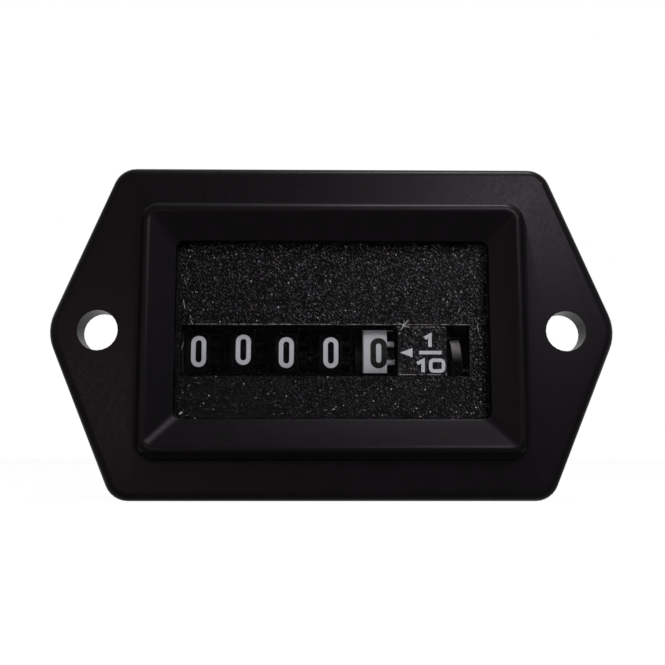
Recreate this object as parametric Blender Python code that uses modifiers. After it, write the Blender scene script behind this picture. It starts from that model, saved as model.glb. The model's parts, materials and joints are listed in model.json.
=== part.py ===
"""Panel hour meter: a moulded case with a raised frame, and a five-wheel counter driven by a
quartz-timed stepping motor.

The part is modelled in millimetres and scaled to metres as each mesh is made. X runs to the
right, Z up, and the front faces -Y. The origin is in the middle of the flange's back face,
the plane that lies on the panel.
"""

from math import atan2, cos, pi, radians, sin, tan

import bmesh
import bpy

MM = 0.001

# Fits
SHAFT_GAP = 0.1
RUNNING_GAP = 0.15
SEAT_GAP = 0.15
SHOULDER = 0.1
OVERLAP = 0.3

# The two driving sizes, of the box that passes through the panel. The case and its movement are
# laid out along X in steps of 1/73 of its width, and along Y and Z in 1/48 of its height.
BOX_WIDTH = 36.5
BOX_HEIGHT = 24.0
ACROSS = BOX_WIDTH / 73
UP = BOX_HEIGHT / 48

# Flange: a long hexagon with two screw holes
FLANGE_WIDTH = BOX_WIDTH + 51.6 * ACROSS
FLANGE_EDGE = BOX_WIDTH + 21 * ACROSS
FLANGE_HEIGHT = BOX_HEIGHT + 25 * UP
FLANGE_THICKNESS = 3.2
FLANGE_CORNER_RADIUS = 2.6
FLANGE_POINT_RADIUS = 5.0
FLANGE_ROUNDING = 1.0
HOLE_PITCH = BOX_WIDTH + 28.6 * ACROSS
HOLE_DIAMETER = 4.4

# Raised frame around the window
FRAME_WIDTH = BOX_WIDTH + 10.6 * ACROSS
FRAME_HEIGHT = BOX_HEIGHT + 7.2 * UP
FRAME_RISE = 2.8
FRAME_DRAFT = 0.15
FRAME_CORNER_RADIUS = 2.2
FRAME_ROUNDING = 0.9
FRAME_FILLET = 0.5
WINDOW_WIDTH = BOX_WIDTH - 5.6 * ACROSS
WINDOW_HEIGHT = BOX_HEIGHT - 9.6 * UP
WINDOW_CORNER_RADIUS = 0.85
WINDOW_ROUNDING = 0.2
WINDOW_RISE = 1.2
LIP_THICKNESS = 0.75

# Rear box behind the panel
BOX_DEPTH = 44 * UP
BOX_WALL = 1.9 * ACROSS
BOX_CORNER_RADIUS = 3 * UP

# Lens and dial, stacked behind the lip of the window
LENS_THICKNESS = 0.8
DIAL_THICKNESS = 1.2
SLOT_LEFT = -32.9 * ACROSS
SLOT_RIGHT = 29.9 * ACROSS
SLOT_HEIGHT = 11.2 * UP
LEDGE_HEIGHT = 0.8 * UP
LEDGE_THICKNESS = 0.5
TENTH_PLATE_LEFT = 14.3 * ACROSS
TENTH_PLATE_RIGHT = 24.9 * ACROSS

# Number wheels: x is the middle of a wheel's digits
WHEEL_RADIUS = 15 * UP
WHEEL_PITCH = 9.8 * ACROSS
TENTHS_WHEEL_X = 10.2 * ACROSS
WHEEL_Z = -4.2 * UP
RIM_TO_LEFT = 3.3 * ACROSS
RIM_TO_RIGHT = 1.9 * ACROSS
RIM_THICKNESS = 1.8 * UP
GEAR_WIDTH = 1.8 * ACROSS
LOCK_DISC_WIDTH = 1.6 * ACROSS
LOCK_DISC_RADIUS = 9.2 * UP
RIM_RECESS = 3 * ACROSS
HUB_RADIUS = 3.8 * UP
SHAFT_RADIUS = 1.5 * UP

# Teeth
COUNTER_MODULE = 1.2 * UP
WHEEL_TEETH = 20
PINION_TEETH = 8
TRAIN_MODULE = 0.5 * UP
DRIVE_TEETH = 48
SECOND_TEETH = 48
THIRD_TEETH = 40
TRAIN_GEAR_WIDTH = 1.6 * ACROSS
TRAIN_PINION_WIDTH = 2 * ACROSS
TRAIN_PITCH = 2.8 * ACROSS
PINION_ADDENDUM = 0.9
PINION_DEDENDUM = 1.25
WHEEL_ADDENDUM = 1.0
WHEEL_DEDENDUM = 1.2
CARRY_TIP_ANGLE = 2.5
CARRY_ROOT_ANGLE = 5.0

# Directions, in degrees from the back towards the top, from each axis to the next
TRANSFER_DIRECTION = 60.0
DRIVE_DIRECTION = 25.0
SECOND_DIRECTION = 165.0
THIRD_DIRECTION = -75.0
ROTOR_DIRECTION = -35.0
INDICATOR_DIRECTION = 187.0

# Movement frame
CHEEK_THICKNESS = 1.4 * ACROSS
MID_PLATE_LEFT = 14.6 * ACROSS
MID_PLATE_THICKNESS = 1.6 * ACROSS
BRIDGE_THICKNESS = 1.8 * ACROSS
WEB_THICKNESS = 1.4 * UP
WEB_FRONT = 6 * UP
POST_RADIUS = 1.5 * UP
POST_PIN_RADIUS = 0.9 * UP
FRONT_POST_Y = 2.4 * UP
BACK_POST_Y = 32 * UP
LOW_POST_Y = 15 * UP
ARBOR_RADIUS = 1 * UP

# Running indicator and motor
INDICATOR_RADIUS = 8 * UP
INDICATOR_LEFT = 26.4 * ACROSS
INDICATOR_WIDTH = 2.4 * ACROSS
MAGNET_RADIUS = 3.8 * UP
MAGNET_LENGTH = 4 * ACROSS
STATOR_X = 26.4 * ACROSS
STATOR_THICKNESS = 1.6 * ACROSS
STATOR_BAR = 4 * UP
ROTOR_HOLE_GAP = 0.3
COIL_Y = 37.2 * UP
COIL_TOP = 12.4 * UP
COIL_BOTTOM = -6.4 * UP
BOBBIN_FLANGE_RADIUS = 4.6 * min(ACROSS, UP)
BOBBIN_FLANGE = 1.2 * UP
BOBBIN_TUBE_RADIUS = 2.5 * min(ACROSS, UP)
BOBBIN_WALL = 0.5 * min(ACROSS, UP)
WINDING_RADIUS = 4 * min(ACROSS, UP)
CORE_WIDTH = 3 * min(ACROSS, UP)
LEAD_RADIUS = 0.2
LEAD_DROP = 6 * UP
LEAD_SPACING = 3 * UP

# Circuit board, and its components as (radius, length, x, z)
BOARD_THICKNESS = 2 * UP
BOARD_RIGHT = 13.6 * ACROSS
CHIP_SIZE = (10 * ACROSS, 3 * UP, 8 * UP)
CHIP_PLACE = (-18 * ACROSS, 8 * UP)
QUARTZ = (2 * UP, 12 * ACROSS, -18 * ACROSS, -10 * UP)
CAPACITOR = (4 * UP, 12 * ACROSS, 3 * ACROSS, 11 * UP)
RESISTOR = (1.8 * UP, 9 * ACROSS, 3 * ACROSS, -3 * UP)
DIODE = (2 * UP, 9 * ACROSS, 3 * ACROSS, -12 * UP)

# Terminals and rear cover
COVER_THICKNESS = 1.6
SPIGOT_DEPTH = 1.0
SPIGOT_THICKNESS = 1.0
COLLAR_WALL = 0.9
COLLAR_DEPTH = 0.8
TERMINAL_SPACING = 24 * ACROSS
BLADE_WIDTH = 6.35
BLADE_THICKNESS = 0.8
BLADE_LENGTH = 8.0
BLADE_CHAMFER = 1.2
BLADE_HOLE_DIAMETER = 1.7
FOOT_LENGTH = 4.8 * ACROSS

# Facets
CORNER_STEPS = 6
ROUND_STEPS = 24
WHEEL_STEPS = 30
COIL_STEPS = 16
SMALL_STEPS = 12

# How local axes lie: FACING has local Z towards the front, AXLE has local Z along X
FACING = (pi / 2, 0, 0)
AXLE = (pi / 2, 0, pi / 2)

# Heights in front of the panel plane
FRONT = FLANGE_THICKNESS
LIP_BACK = FRONT + WINDOW_RISE - LIP_THICKNESS
LENS_BACK = LIP_BACK - SEAT_GAP - LENS_THICKNESS
DIAL_BACK = LENS_BACK - SEAT_GAP - DIAL_THICKNESS

# Pocket for the lens, the dial and the movement
POCKET_WIDTH = BOX_WIDTH - 2 * BOX_WALL
POCKET_HEIGHT = BOX_HEIGHT - 2 * BOX_WALL
POCKET_CORNER_RADIUS = BOX_CORNER_RADIUS - BOX_WALL

# Places along X, left to right
WHEEL_NAMES = ["thousands_wheel", "hundreds_wheel", "tens_wheel", "units_wheel", "tenths_wheel"]
WHEEL_PLACES = [TENTHS_WHEEL_X - WHEEL_PITCH * n for n in (4, 3, 2, 1, 0)]
CHEEK_LEFT = -POCKET_WIDTH / 2 + SEAT_GAP
MID_PLATE_RIGHT = MID_PLATE_LEFT + MID_PLATE_THICKNESS
BRIDGE_RIGHT = POCKET_WIDTH / 2 - SEAT_GAP
BRIDGE_LEFT = BRIDGE_RIGHT - BRIDGE_THICKNESS
DRIVE_GEAR_X = MID_PLATE_RIGHT + 0.8 * ACROSS
SECOND_GEAR_X = DRIVE_GEAR_X + TRAIN_PITCH
THIRD_GEAR_X = SECOND_GEAR_X + TRAIN_PITCH
PINION_OVERHANG = (TRAIN_PINION_WIDTH - TRAIN_GEAR_WIDTH) / 2

# Places along Y, from the dial back to the cover
MOVEMENT_FRONT = -DIAL_BACK + SEAT_GAP
BOARD_BACK = BOX_DEPTH - SPIGOT_DEPTH - SEAT_GAP
BOARD_FRONT = BOARD_BACK - BOARD_THICKNESS
MOVEMENT_BACK = BOARD_FRONT - SEAT_GAP
COVER_FRONT = BOX_DEPTH + SEAT_GAP / 2
COVER_BACK = COVER_FRONT + COVER_THICKNESS
MOVEMENT_HEIGHT = POCKET_HEIGHT - 2 * POCKET_CORNER_RADIUS
STATOR_RIGHT = STATOR_X + STATOR_THICKNESS
COIL_X = STATOR_X + STATOR_THICKNESS / 2


def step_from(point, distance, direction):
    """The (y, z) point a distance away, at an angle from the back towards the top."""
    return (point[0] + distance * cos(radians(direction)),
            point[1] + distance * sin(radians(direction)))


def centre_distance(module, teeth, other_teeth):
    return module * (teeth + other_teeth) / 2


# Axes, as (y, z)
WHEEL_AXIS = (MOVEMENT_FRONT + WHEEL_RADIUS + RUNNING_GAP, WHEEL_Z)
COUNTER_CENTRES = centre_distance(COUNTER_MODULE, WHEEL_TEETH, PINION_TEETH)
TRANSFER_AXIS = step_from(WHEEL_AXIS, COUNTER_CENTRES, TRANSFER_DIRECTION)
DRIVE_AXIS = step_from(WHEEL_AXIS, COUNTER_CENTRES, DRIVE_DIRECTION)
SECOND_AXIS = step_from(
    DRIVE_AXIS, centre_distance(TRAIN_MODULE, DRIVE_TEETH, PINION_TEETH), SECOND_DIRECTION)
THIRD_AXIS = step_from(
    SECOND_AXIS, centre_distance(TRAIN_MODULE, SECOND_TEETH, PINION_TEETH), THIRD_DIRECTION)
THIRD_CENTRES = centre_distance(TRAIN_MODULE, THIRD_TEETH, PINION_TEETH)
ROTOR_AXIS = step_from(THIRD_AXIS, THIRD_CENTRES, ROTOR_DIRECTION)
INDICATOR_AXIS = step_from(THIRD_AXIS, THIRD_CENTRES, INDICATOR_DIRECTION)

# Posts that carry the bridge, as (y, z), and pegs on the bridge that carry the stator
POSTS = [
    (FRONT_POST_Y, MOVEMENT_HEIGHT / 2 - POST_RADIUS - SHOULDER),
    (BACK_POST_Y, MOVEMENT_HEIGHT / 2 - POST_RADIUS - SHOULDER),
    (LOW_POST_Y, -MOVEMENT_HEIGHT / 2 + POST_RADIUS + SHOULDER),
]
STATOR_LEFT_Y = 21.6 * UP
STATOR_TOP_Z = 17.2 * UP
STATOR_BOTTOM_Z = -20.4 * UP
STATOR_FOOT_TOP = 2 * ROTOR_AXIS[1] - STATOR_BOTTOM_Z
PEGS = [
    (STATOR_LEFT_Y + STATOR_BAR / 2, STATOR_TOP_Z - STATOR_BAR / 2),
    (COIL_Y, STATOR_BOTTOM_Z + STATOR_BAR / 2),
]


def new_collection(name):
    group = bpy.data.collections.new(name)
    bpy.context.scene.collection.children.link(group)
    return group


for old in list(bpy.data.objects):
    bpy.data.objects.remove(old, do_unlink=True)
PARTS = new_collection("hour_meter")
CUTTERS = new_collection("construction")


def material(name, colour, roughness, metallic=0.0, transmission=0.0):
    made = bpy.data.materials.new(name)
    made.use_nodes = True
    shader = made.node_tree.nodes["Principled BSDF"]
    shader.inputs["Base Color"].default_value = (*colour, 1.0)
    shader.inputs["Roughness"].default_value = roughness
    shader.inputs["Metallic"].default_value = metallic
    shader.inputs["Transmission Weight"].default_value = transmission
    made.diffuse_color = (*colour, 1.0)
    return made


def add_object(name, mesh, turn=(0, 0, 0), place=(0, 0, 0)):
    obj = bpy.data.objects.new(name, mesh)
    obj.rotation_euler = turn
    obj.location = [MM * value for value in place]
    PARTS.objects.link(obj)
    return obj


def finish(obj, name, colour, roughness, metallic=0.0, transmission=0.0):
    """Name a finished piece, give it its own material and shade its round faces smooth."""
    obj.name = name
    obj.data.name = name
    obj.data.materials.clear()
    obj.data.materials.append(material(name, colour, roughness, metallic, transmission))
    obj.data.shade_smooth()
    obj.data.set_sharp_from_angle(angle=radians(30))
    return obj


def mesh_from(name, bm):
    bmesh.ops.scale(bm, vec=(MM, MM, MM), verts=bm.verts)
    mesh = bpy.data.meshes.new(name)
    bm.to_mesh(mesh)
    bm.free()
    return mesh


def box(low, high, turn=(0, 0, 0), place=(0, 0, 0)):
    bm = bmesh.new()
    bmesh.ops.create_cube(bm, size=1.0)
    for vert in bm.verts:
        for axis in range(3):
            middle = (low[axis] + high[axis]) / 2
            vert.co[axis] = middle + vert.co[axis] * (high[axis] - low[axis])
    return add_object("box", mesh_from("box", bm), turn, place)


def cylinder(radius, start, end, turn, place, steps=ROUND_STEPS):
    """A cylinder along local Z, from start to end."""
    bm = bmesh.new()
    bmesh.ops.create_cone(
        bm, cap_ends=True, segments=steps, radius1=radius, radius2=radius, depth=end - start)
    bmesh.ops.translate(bm, vec=(0, 0, (start + end) / 2), verts=bm.verts)
    return add_object("cylinder", mesh_from("cylinder", bm), turn, place)


def plate(outlines, start, end, turn, place=(0, 0, 0)):
    """A flat plate from start to end along local Z. The first outline is the outer one."""
    curve = bpy.data.curves.new("plate", "CURVE")
    curve.dimensions = "2D"
    curve.fill_mode = "BOTH"
    curve.extrude = MM * (end - start) / 2
    for outline in outlines:
        spline = curve.splines.new("POLY")
        spline.points.add(len(outline) - 1)
        spline.use_cyclic_u = True
        for point, (x, y) in zip(spline.points, outline):
            point.co = (MM * x, MM * y, 0, 1)
    flat = bpy.data.objects.new("plate", curve)
    PARTS.objects.link(flat)
    bpy.context.view_layer.update()
    mesh = bpy.data.meshes.new_from_object(
        flat.evaluated_get(bpy.context.evaluated_depsgraph_get()))
    bpy.data.objects.remove(flat, do_unlink=True)
    bm = bmesh.new()
    bm.from_mesh(mesh)
    bmesh.ops.remove_doubles(bm, verts=bm.verts, dist=MM / 1000)
    bmesh.ops.translate(bm, vec=(0, 0, MM * (start + end) / 2), verts=bm.verts)
    bmesh.ops.recalc_face_normals(bm, faces=bm.faces)
    bm.to_mesh(mesh)
    bm.free()
    return add_object("plate", mesh, turn, place)


def turned(profile, turn, place, steps=ROUND_STEPS):
    """A closed (radius, height) profile turned about local Z. Its outer side runs downwards."""
    mesh = bpy.data.meshes.new("turned")
    points = [(MM * radius, 0, MM * height) for radius, height in profile]
    count = len(points)
    mesh.from_pydata(points, [(n, (n + 1) % count) for n in range(count)], [])
    obj = add_object("turned", mesh, turn, place)
    screw = obj.modifiers.new("turn", "SCREW")
    screw.steps = steps
    screw.render_steps = steps
    screw.use_merge_vertices = True
    screw.merge_threshold = MM / 1000
    return obj


def combine(obj, helper, operation):
    """Join a helper solid to a piece, or cut it away, and put the helper among the guides."""
    modifier = obj.modifiers.new(operation.lower(), "BOOLEAN")
    modifier.operation = operation
    modifier.solver = "EXACT"
    modifier.object = helper
    PARTS.objects.unlink(helper)
    CUTTERS.objects.link(helper)
    helper.hide_render = True
    helper.display_type = "WIRE"
    helper.name = "guide"


def join(obj, *helpers):
    for helper in helpers:
        combine(obj, helper, "UNION")


def cut(obj, *helpers):
    for helper in helpers:
        combine(obj, helper, "DIFFERENCE")


def circle(radius, centre=(0, 0), steps=ROUND_STEPS):
    return [(centre[0] + radius * cos(2 * pi * n / steps),
             centre[1] + radius * sin(2 * pi * n / steps)) for n in range(steps)]


def rectangle(left, bottom, right, top):
    return [(left, bottom), (right, bottom), (right, top), (left, top)]


def rounded_rectangle(width, height, radius, steps=CORNER_STEPS):
    """An outline about the origin, counterclockwise, with the same points for any size."""
    points = []
    for quarter, (sx, sy) in enumerate(((1, 1), (-1, 1), (-1, -1), (1, -1))):
        for n in range(steps + 1):
            angle = pi / 2 * (quarter + n / steps)
            points.append((sx * (width / 2 - radius) + radius * cos(angle),
                           sy * (height / 2 - radius) + radius * sin(angle)))
    return points


def rounded_polygon(corners, inset=0, steps=CORNER_STEPS):
    """An outline inside sharp corners, each given as (x, y, radius), moved in by the inset."""
    points = []
    count = len(corners)
    for n, (x, y, radius) in enumerate(corners):
        before = corners[n - 1]
        after = corners[(n + 1) % count]
        arrive = atan2(y - before[1], x - before[0])
        leave = atan2(after[1] - y, after[0] - x)
        bend = (leave - arrive + pi) % (2 * pi) - pi
        reach = radius / cos(bend / 2)
        inward = (arrive + leave + (2 * pi if leave < arrive else 0)) / 2 + pi / 2
        middle = (x + reach * cos(inward), y + reach * sin(inward))
        for k in range(steps + 1):
            angle = arrive - pi / 2 + bend * k / steps
            points.append((middle[0] + (radius - inset) * cos(angle),
                           middle[1] + (radius - inset) * sin(angle)))
    return points


def gear_outline(teeth, module, phase, slim=1.0, every=1):
    """A toothed outline with one tooth centred at the phase, in degrees.

    A pinion's teeth are narrower than a wheel's, so that the pair turns freely. Slim below 1
    thins and shortens the teeth, and every above 1 leaves out the teeth between.
    """
    pinion = teeth <= PINION_TEETH
    tip_share, root_share = (0.10, 0.22) if pinion else (0.12, 0.27)
    addendum = PINION_ADDENDUM if pinion else WHEEL_ADDENDUM
    dedendum = PINION_DEDENDUM if pinion else WHEEL_DEDENDUM
    tip = module * (teeth / 2 + addendum * slim)
    root = module * (teeth / 2 - dedendum)
    step = 2 * pi / teeth
    points = []
    for n in range(0, teeth, every):
        middle = radians(phase) + n * step
        for radius, share in ((root, -root_share), (tip, -tip_share),
                              (tip, tip_share), (root, root_share)):
            angle = middle + share * slim * step
            points.append((radius * cos(angle), radius * sin(angle)))
        for gap in range(1, every):
            angle = middle + gap * step
            points.append((root * cos(angle), root * sin(angle)))
    return points


def meshed_phase(phase, teeth, other_teeth, direction):
    """The phase that puts another gear's teeth in this gear's gaps, in a given direction."""
    step = 360 / teeth
    other_step = 360 / other_teeth
    return direction + 180 - other_step * ((phase - direction) / step + 0.5)


def loft(loops, capped=False):
    """Skin through (outline, height) loops. The last joins the first, unless both are capped."""
    bm = bmesh.new()
    rings = [[bm.verts.new((x, y, height)) for x, y in outline] for outline, height in loops]
    for ring, after in zip(rings, rings[1:] if capped else rings[1:] + rings[:1]):
        for k in range(len(ring)):
            m = (k + 1) % len(ring)
            bm.faces.new((ring[k], ring[m], after[m], after[k]))
    if capped:
        bm.faces.new(rings[0])
        bm.faces.new(rings[-1])
    bmesh.ops.recalc_face_normals(bm, faces=bm.faces)
    return add_object("loft", mesh_from("loft", bm), FACING)


def flange_outline(inset=0):
    half_edge = FLANGE_EDGE / 2
    half_height = FLANGE_HEIGHT / 2
    point = (FLANGE_WIDTH / 2, 0, FLANGE_POINT_RADIUS)
    return rounded_polygon([
        (half_edge, -half_height, FLANGE_CORNER_RADIUS),
        point,
        (half_edge, half_height, FLANGE_CORNER_RADIUS),
        (-half_edge, half_height, FLANGE_CORNER_RADIUS),
        (-point[0], 0, FLANGE_POINT_RADIUS),
        (-half_edge, -half_height, FLANGE_CORNER_RADIUS),
    ], inset)


def make_flange():
    """The long hexagonal plate, with its front edge rounded and its screw holes cut."""
    loops = [(flange_outline(), 0)]
    for n in range(5):
        angle = pi / 2 * n / 4
        loops.append((flange_outline(FLANGE_ROUNDING * (1 - cos(angle))),
                      FRONT - FLANGE_ROUNDING * (1 - sin(angle))))
    flange = loft(loops, capped=True)
    cut(flange, *[cylinder(HOLE_DIAMETER / 2, -1, FRONT + 1, FACING,
                           (side * HOLE_PITCH / 2, 0, 0)) for side in (-1, 1)])
    return flange


def frame_slope():
    """The angle at which the frame's inner side falls to the window."""
    run = (FRAME_HEIGHT - WINDOW_HEIGHT) / 2 - FRAME_DRAFT - FRAME_ROUNDING
    return atan2(FRAME_RISE - WINDOW_RISE, run)


def frame_section():
    """The raised frame's skin as (inset, radius, height), from the flange over its ridge.

    Inset counts inwards from the frame's outer size at the flange.
    """
    section = []
    for n in range(3):
        angle = pi * (1.5 - 0.25 * n)
        section.append((-FRAME_FILLET - FRAME_FILLET * cos(angle),
                        FRAME_CORNER_RADIUS + FRAME_FILLET * (1 + cos(angle)),
                        FRONT + FRAME_FILLET * (1 + sin(angle))))
    ridge = FRAME_DRAFT + FRAME_ROUNDING
    top = FRONT + FRAME_RISE - FRAME_ROUNDING
    for n in range(5):
        angle = (pi / 2 + frame_slope()) * n / 4
        section.append((ridge - FRAME_ROUNDING * cos(angle),
                        max(FRAME_CORNER_RADIUS - ridge + FRAME_ROUNDING * cos(angle), 0.2),
                        top + FRAME_ROUNDING * sin(angle)))
    return section


def window_edge():
    """Loops that round the edge between the frame's slope and the window's wall."""
    slope = frame_slope()
    middle = FRONT + WINDOW_RISE + WINDOW_ROUNDING * ((1 - sin(slope)) * tan(slope) - cos(slope))
    loops = []
    for n in range(4):
        angle = slope + (pi / 2 - slope) * n / 3
        outset = WINDOW_ROUNDING * (1 - sin(angle))
        loops.append((rounded_rectangle(WINDOW_WIDTH + 2 * outset, WINDOW_HEIGHT + 2 * outset,
                                        WINDOW_CORNER_RADIUS + outset),
                      middle + WINDOW_ROUNDING * cos(angle)))
    return loops


def make_case():
    """Flange, raised frame and rear box, moulded as one piece."""
    buried = FRONT - 2 * OVERLAP
    loops = []
    for inset, radius, height in frame_section():
        loops.append((rounded_rectangle(
            FRAME_WIDTH - 2 * inset, FRAME_HEIGHT - 2 * inset, radius), height))
    loops.insert(0, (loops[0][0], buried))
    window = rounded_rectangle(WINDOW_WIDTH, WINDOW_HEIGHT, WINDOW_CORNER_RADIUS)
    pocket = rounded_rectangle(POCKET_WIDTH, POCKET_HEIGHT, POCKET_CORNER_RADIUS)
    outside = rounded_rectangle(BOX_WIDTH, BOX_HEIGHT, BOX_CORNER_RADIUS)
    loops += window_edge()
    loops += [
        (window, LIP_BACK),
        (pocket, LIP_BACK),
        (pocket, -BOX_DEPTH),
        (outside, -BOX_DEPTH),
        (outside, buried),
    ]
    case = loft(loops)
    flange = make_flange()
    opening = plate([rounded_rectangle(
        POCKET_WIDTH + BOX_WALL, POCKET_HEIGHT + BOX_WALL, BOX_CORNER_RADIUS)],
        -1, FRONT + 1, FACING)
    cut(flange, opening)
    join(case, flange)
    return finish(case, "case", (0.022, 0.022, 0.024), 0.42)


def make_lens():
    outline = rounded_rectangle(
        POCKET_WIDTH - 2 * SEAT_GAP, POCKET_HEIGHT - 2 * SEAT_GAP, POCKET_CORNER_RADIUS)
    lens = plate([outline], LENS_BACK, LENS_BACK + LENS_THICKNESS, FACING)
    return finish(lens, "lens", (0.95, 0.96, 0.97), 0.05, transmission=1.0)


def make_dial():
    """The dial plate, with one long slot over the wheels and the running indicator.

    A ledge at the back of the slot, above and below, covers the gaps around the wheels.
    """
    outline = rounded_rectangle(
        POCKET_WIDTH - 2 * SEAT_GAP, POCKET_HEIGHT - 2 * SEAT_GAP, POCKET_CORNER_RADIUS)
    low = WHEEL_Z - SLOT_HEIGHT / 2
    top = WHEEL_Z + SLOT_HEIGHT / 2
    ledge_end = TENTH_PLATE_LEFT - SEAT_GAP
    opening = [
        (SLOT_LEFT, low + LEDGE_HEIGHT), (ledge_end, low + LEDGE_HEIGHT), (ledge_end, low),
        (SLOT_RIGHT, low), (SLOT_RIGHT, top), (ledge_end, top),
        (ledge_end, top - LEDGE_HEIGHT), (SLOT_LEFT, top - LEDGE_HEIGHT),
    ]
    dial = plate([outline, opening], DIAL_BACK, DIAL_BACK + DIAL_THICKNESS, FACING)
    cut(dial, box((SLOT_LEFT - 0.01, -FRONT, low - 0.01),
                  (ledge_end + SEAT_GAP, -DIAL_BACK - LEDGE_THICKNESS, top + 0.01)))
    return finish(dial, "dial_plate", (0.015, 0.015, 0.016), 0.5)


def make_tenth_plate():
    """The small plate beside the last wheel, seated in the slot on the mid plate's edge."""
    half = SLOT_HEIGHT / 2 - SEAT_GAP
    outline = rectangle(TENTH_PLATE_LEFT, WHEEL_Z - half, TENTH_PLATE_RIGHT, WHEEL_Z + half)
    insert = plate([outline], DIAL_BACK, DIAL_BACK + DIAL_THICKNESS - 0.1, FACING)
    return finish(insert, "tenth_plate", (0.015, 0.015, 0.016), 0.5)


def wheel_phase():
    """Counter gears stand with a gap, not a tooth, facing the front."""
    return 180 + 180 / WHEEL_TEETH


def carry_outline():
    """Two short teeth beside the locking disc, which step the next wheel once a turn."""
    tip = COUNTER_CENTRES - COUNTER_MODULE * (PINION_TEETH / 2 + PINION_ADDENDUM) - RUNNING_GAP
    root = LOCK_DISC_RADIUS - OVERLAP
    step = 360 / WHEEL_TEETH
    points = [(root * 0.8 * cos(radians(angle)), root * 0.8 * sin(radians(angle)))
              for angle in (step, -step)]
    for middle in (-step / 2, step / 2):
        for radius, angle in ((root, middle - CARRY_ROOT_ANGLE), (tip, middle - CARRY_TIP_ANGLE),
                              (tip, middle + CARRY_TIP_ANGLE), (root, middle + CARRY_ROOT_ANGLE)):
            points.append((radius * cos(radians(angle)), radius * sin(radians(angle))))
    return points


def make_number_wheel(name, x, colour, carries):
    """A moulded wheel: digit rim, driven gear on its right and locking disc on its left."""
    bore = SHAFT_RADIUS + SHAFT_GAP
    lock_face = -RIM_TO_LEFT - (LOCK_DISC_WIDTH if carries else 0)
    gear_face = RIM_TO_RIGHT + GEAR_WIDTH
    floor = -RIM_TO_LEFT + RIM_RECESS
    profile = [
        (bore, gear_face + SHOULDER),
        (HUB_RADIUS, gear_face + SHOULDER),
        (HUB_RADIUS, RIM_TO_RIGHT),
        (WHEEL_RADIUS, RIM_TO_RIGHT),
        (WHEEL_RADIUS, -RIM_TO_LEFT),
        (WHEEL_RADIUS - RIM_THICKNESS, -RIM_TO_LEFT),
        (WHEEL_RADIUS - RIM_THICKNESS, floor),
        (LOCK_DISC_RADIUS, floor),
        (LOCK_DISC_RADIUS, lock_face),
        (bore, lock_face),
    ]
    place = (x, *WHEEL_AXIS)
    wheel = turned(profile, AXLE, place, WHEEL_STEPS)
    gear = plate([gear_outline(WHEEL_TEETH, COUNTER_MODULE, wheel_phase()),
                  circle((bore + HUB_RADIUS) / 2, steps=SMALL_STEPS)],
                 RIM_TO_RIGHT - OVERLAP, gear_face, AXLE, place)
    join(wheel, gear)
    if carries:
        join(wheel, plate([carry_outline()], lock_face + SHOULDER, -RIM_TO_LEFT - SHOULDER,
                          AXLE, place))
    return finish(wheel, name, colour, 0.5)


def make_transfer_pinion(number, x):
    """Eight teeth over the next wheel's gear, and every other one carried on over the lock."""
    bore = SHAFT_RADIUS + SHAFT_GAP
    left = x - WHEEL_PITCH + RIM_TO_RIGHT + RUNNING_GAP
    right = x - RIM_TO_LEFT - RUNNING_GAP
    middle = left + GEAR_WIDTH
    phase = meshed_phase(wheel_phase(), WHEEL_TEETH, PINION_TEETH, TRANSFER_DIRECTION)
    hub_radius = COUNTER_MODULE * (PINION_TEETH / 2 - PINION_DEDENDUM) - 2 * SHOULDER
    place = (0, *TRANSFER_AXIS)
    profile = [(bore, right), (hub_radius, right), (hub_radius, left), (bore, left)]
    pinion = turned(profile, AXLE, place, SMALL_STEPS)
    hole = circle((bore + hub_radius) / 2, steps=SMALL_STEPS)
    short = plate([gear_outline(PINION_TEETH, COUNTER_MODULE, phase), hole],
                  left + 0.02, middle, AXLE, place)
    long = plate([gear_outline(PINION_TEETH, COUNTER_MODULE, phase, slim=0.95, every=2), hole],
                 middle - OVERLAP, right - 0.02, AXLE, place)
    join(pinion, short, long)
    return finish(pinion, f"transfer_pinion_{number}", (0.6, 0.6, 0.58), 0.45)


def make_counter():
    for name, x in zip(WHEEL_NAMES, WHEEL_PLACES):
        last = name == "tenths_wheel"
        make_number_wheel(name, x, (0.62, 0.63, 0.63) if last else (0.012, 0.012, 0.013),
                          carries=name != "thousands_wheel")
    for number, x in enumerate(WHEEL_PLACES[1:], start=1):
        make_transfer_pinion(number, x)
    for name, axis in (("wheel_shaft", WHEEL_AXIS), ("pinion_shaft", TRANSFER_AXIS)):
        shaft = cylinder(SHAFT_RADIUS, CHEEK_LEFT, MID_PLATE_RIGHT, AXLE, (0, *axis), 16)
        finish(shaft, name, (0.55, 0.55, 0.56), 0.3, metallic=1.0)


def arbor(radius, axis, start, end):
    return cylinder(radius, start, end, AXLE, (0, *axis), SMALL_STEPS)


def toothed_disc(teeth, module, phase, axis, start, width):
    return plate([gear_outline(teeth, module, phase)], start, start + width, AXLE, (0, *axis))


def pivot_ends():
    """Pivots run in both plates, just inside the mid plate and just short of the wall."""
    return MID_PLATE_LEFT + 0.1, BRIDGE_RIGHT - 0.1


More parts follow.
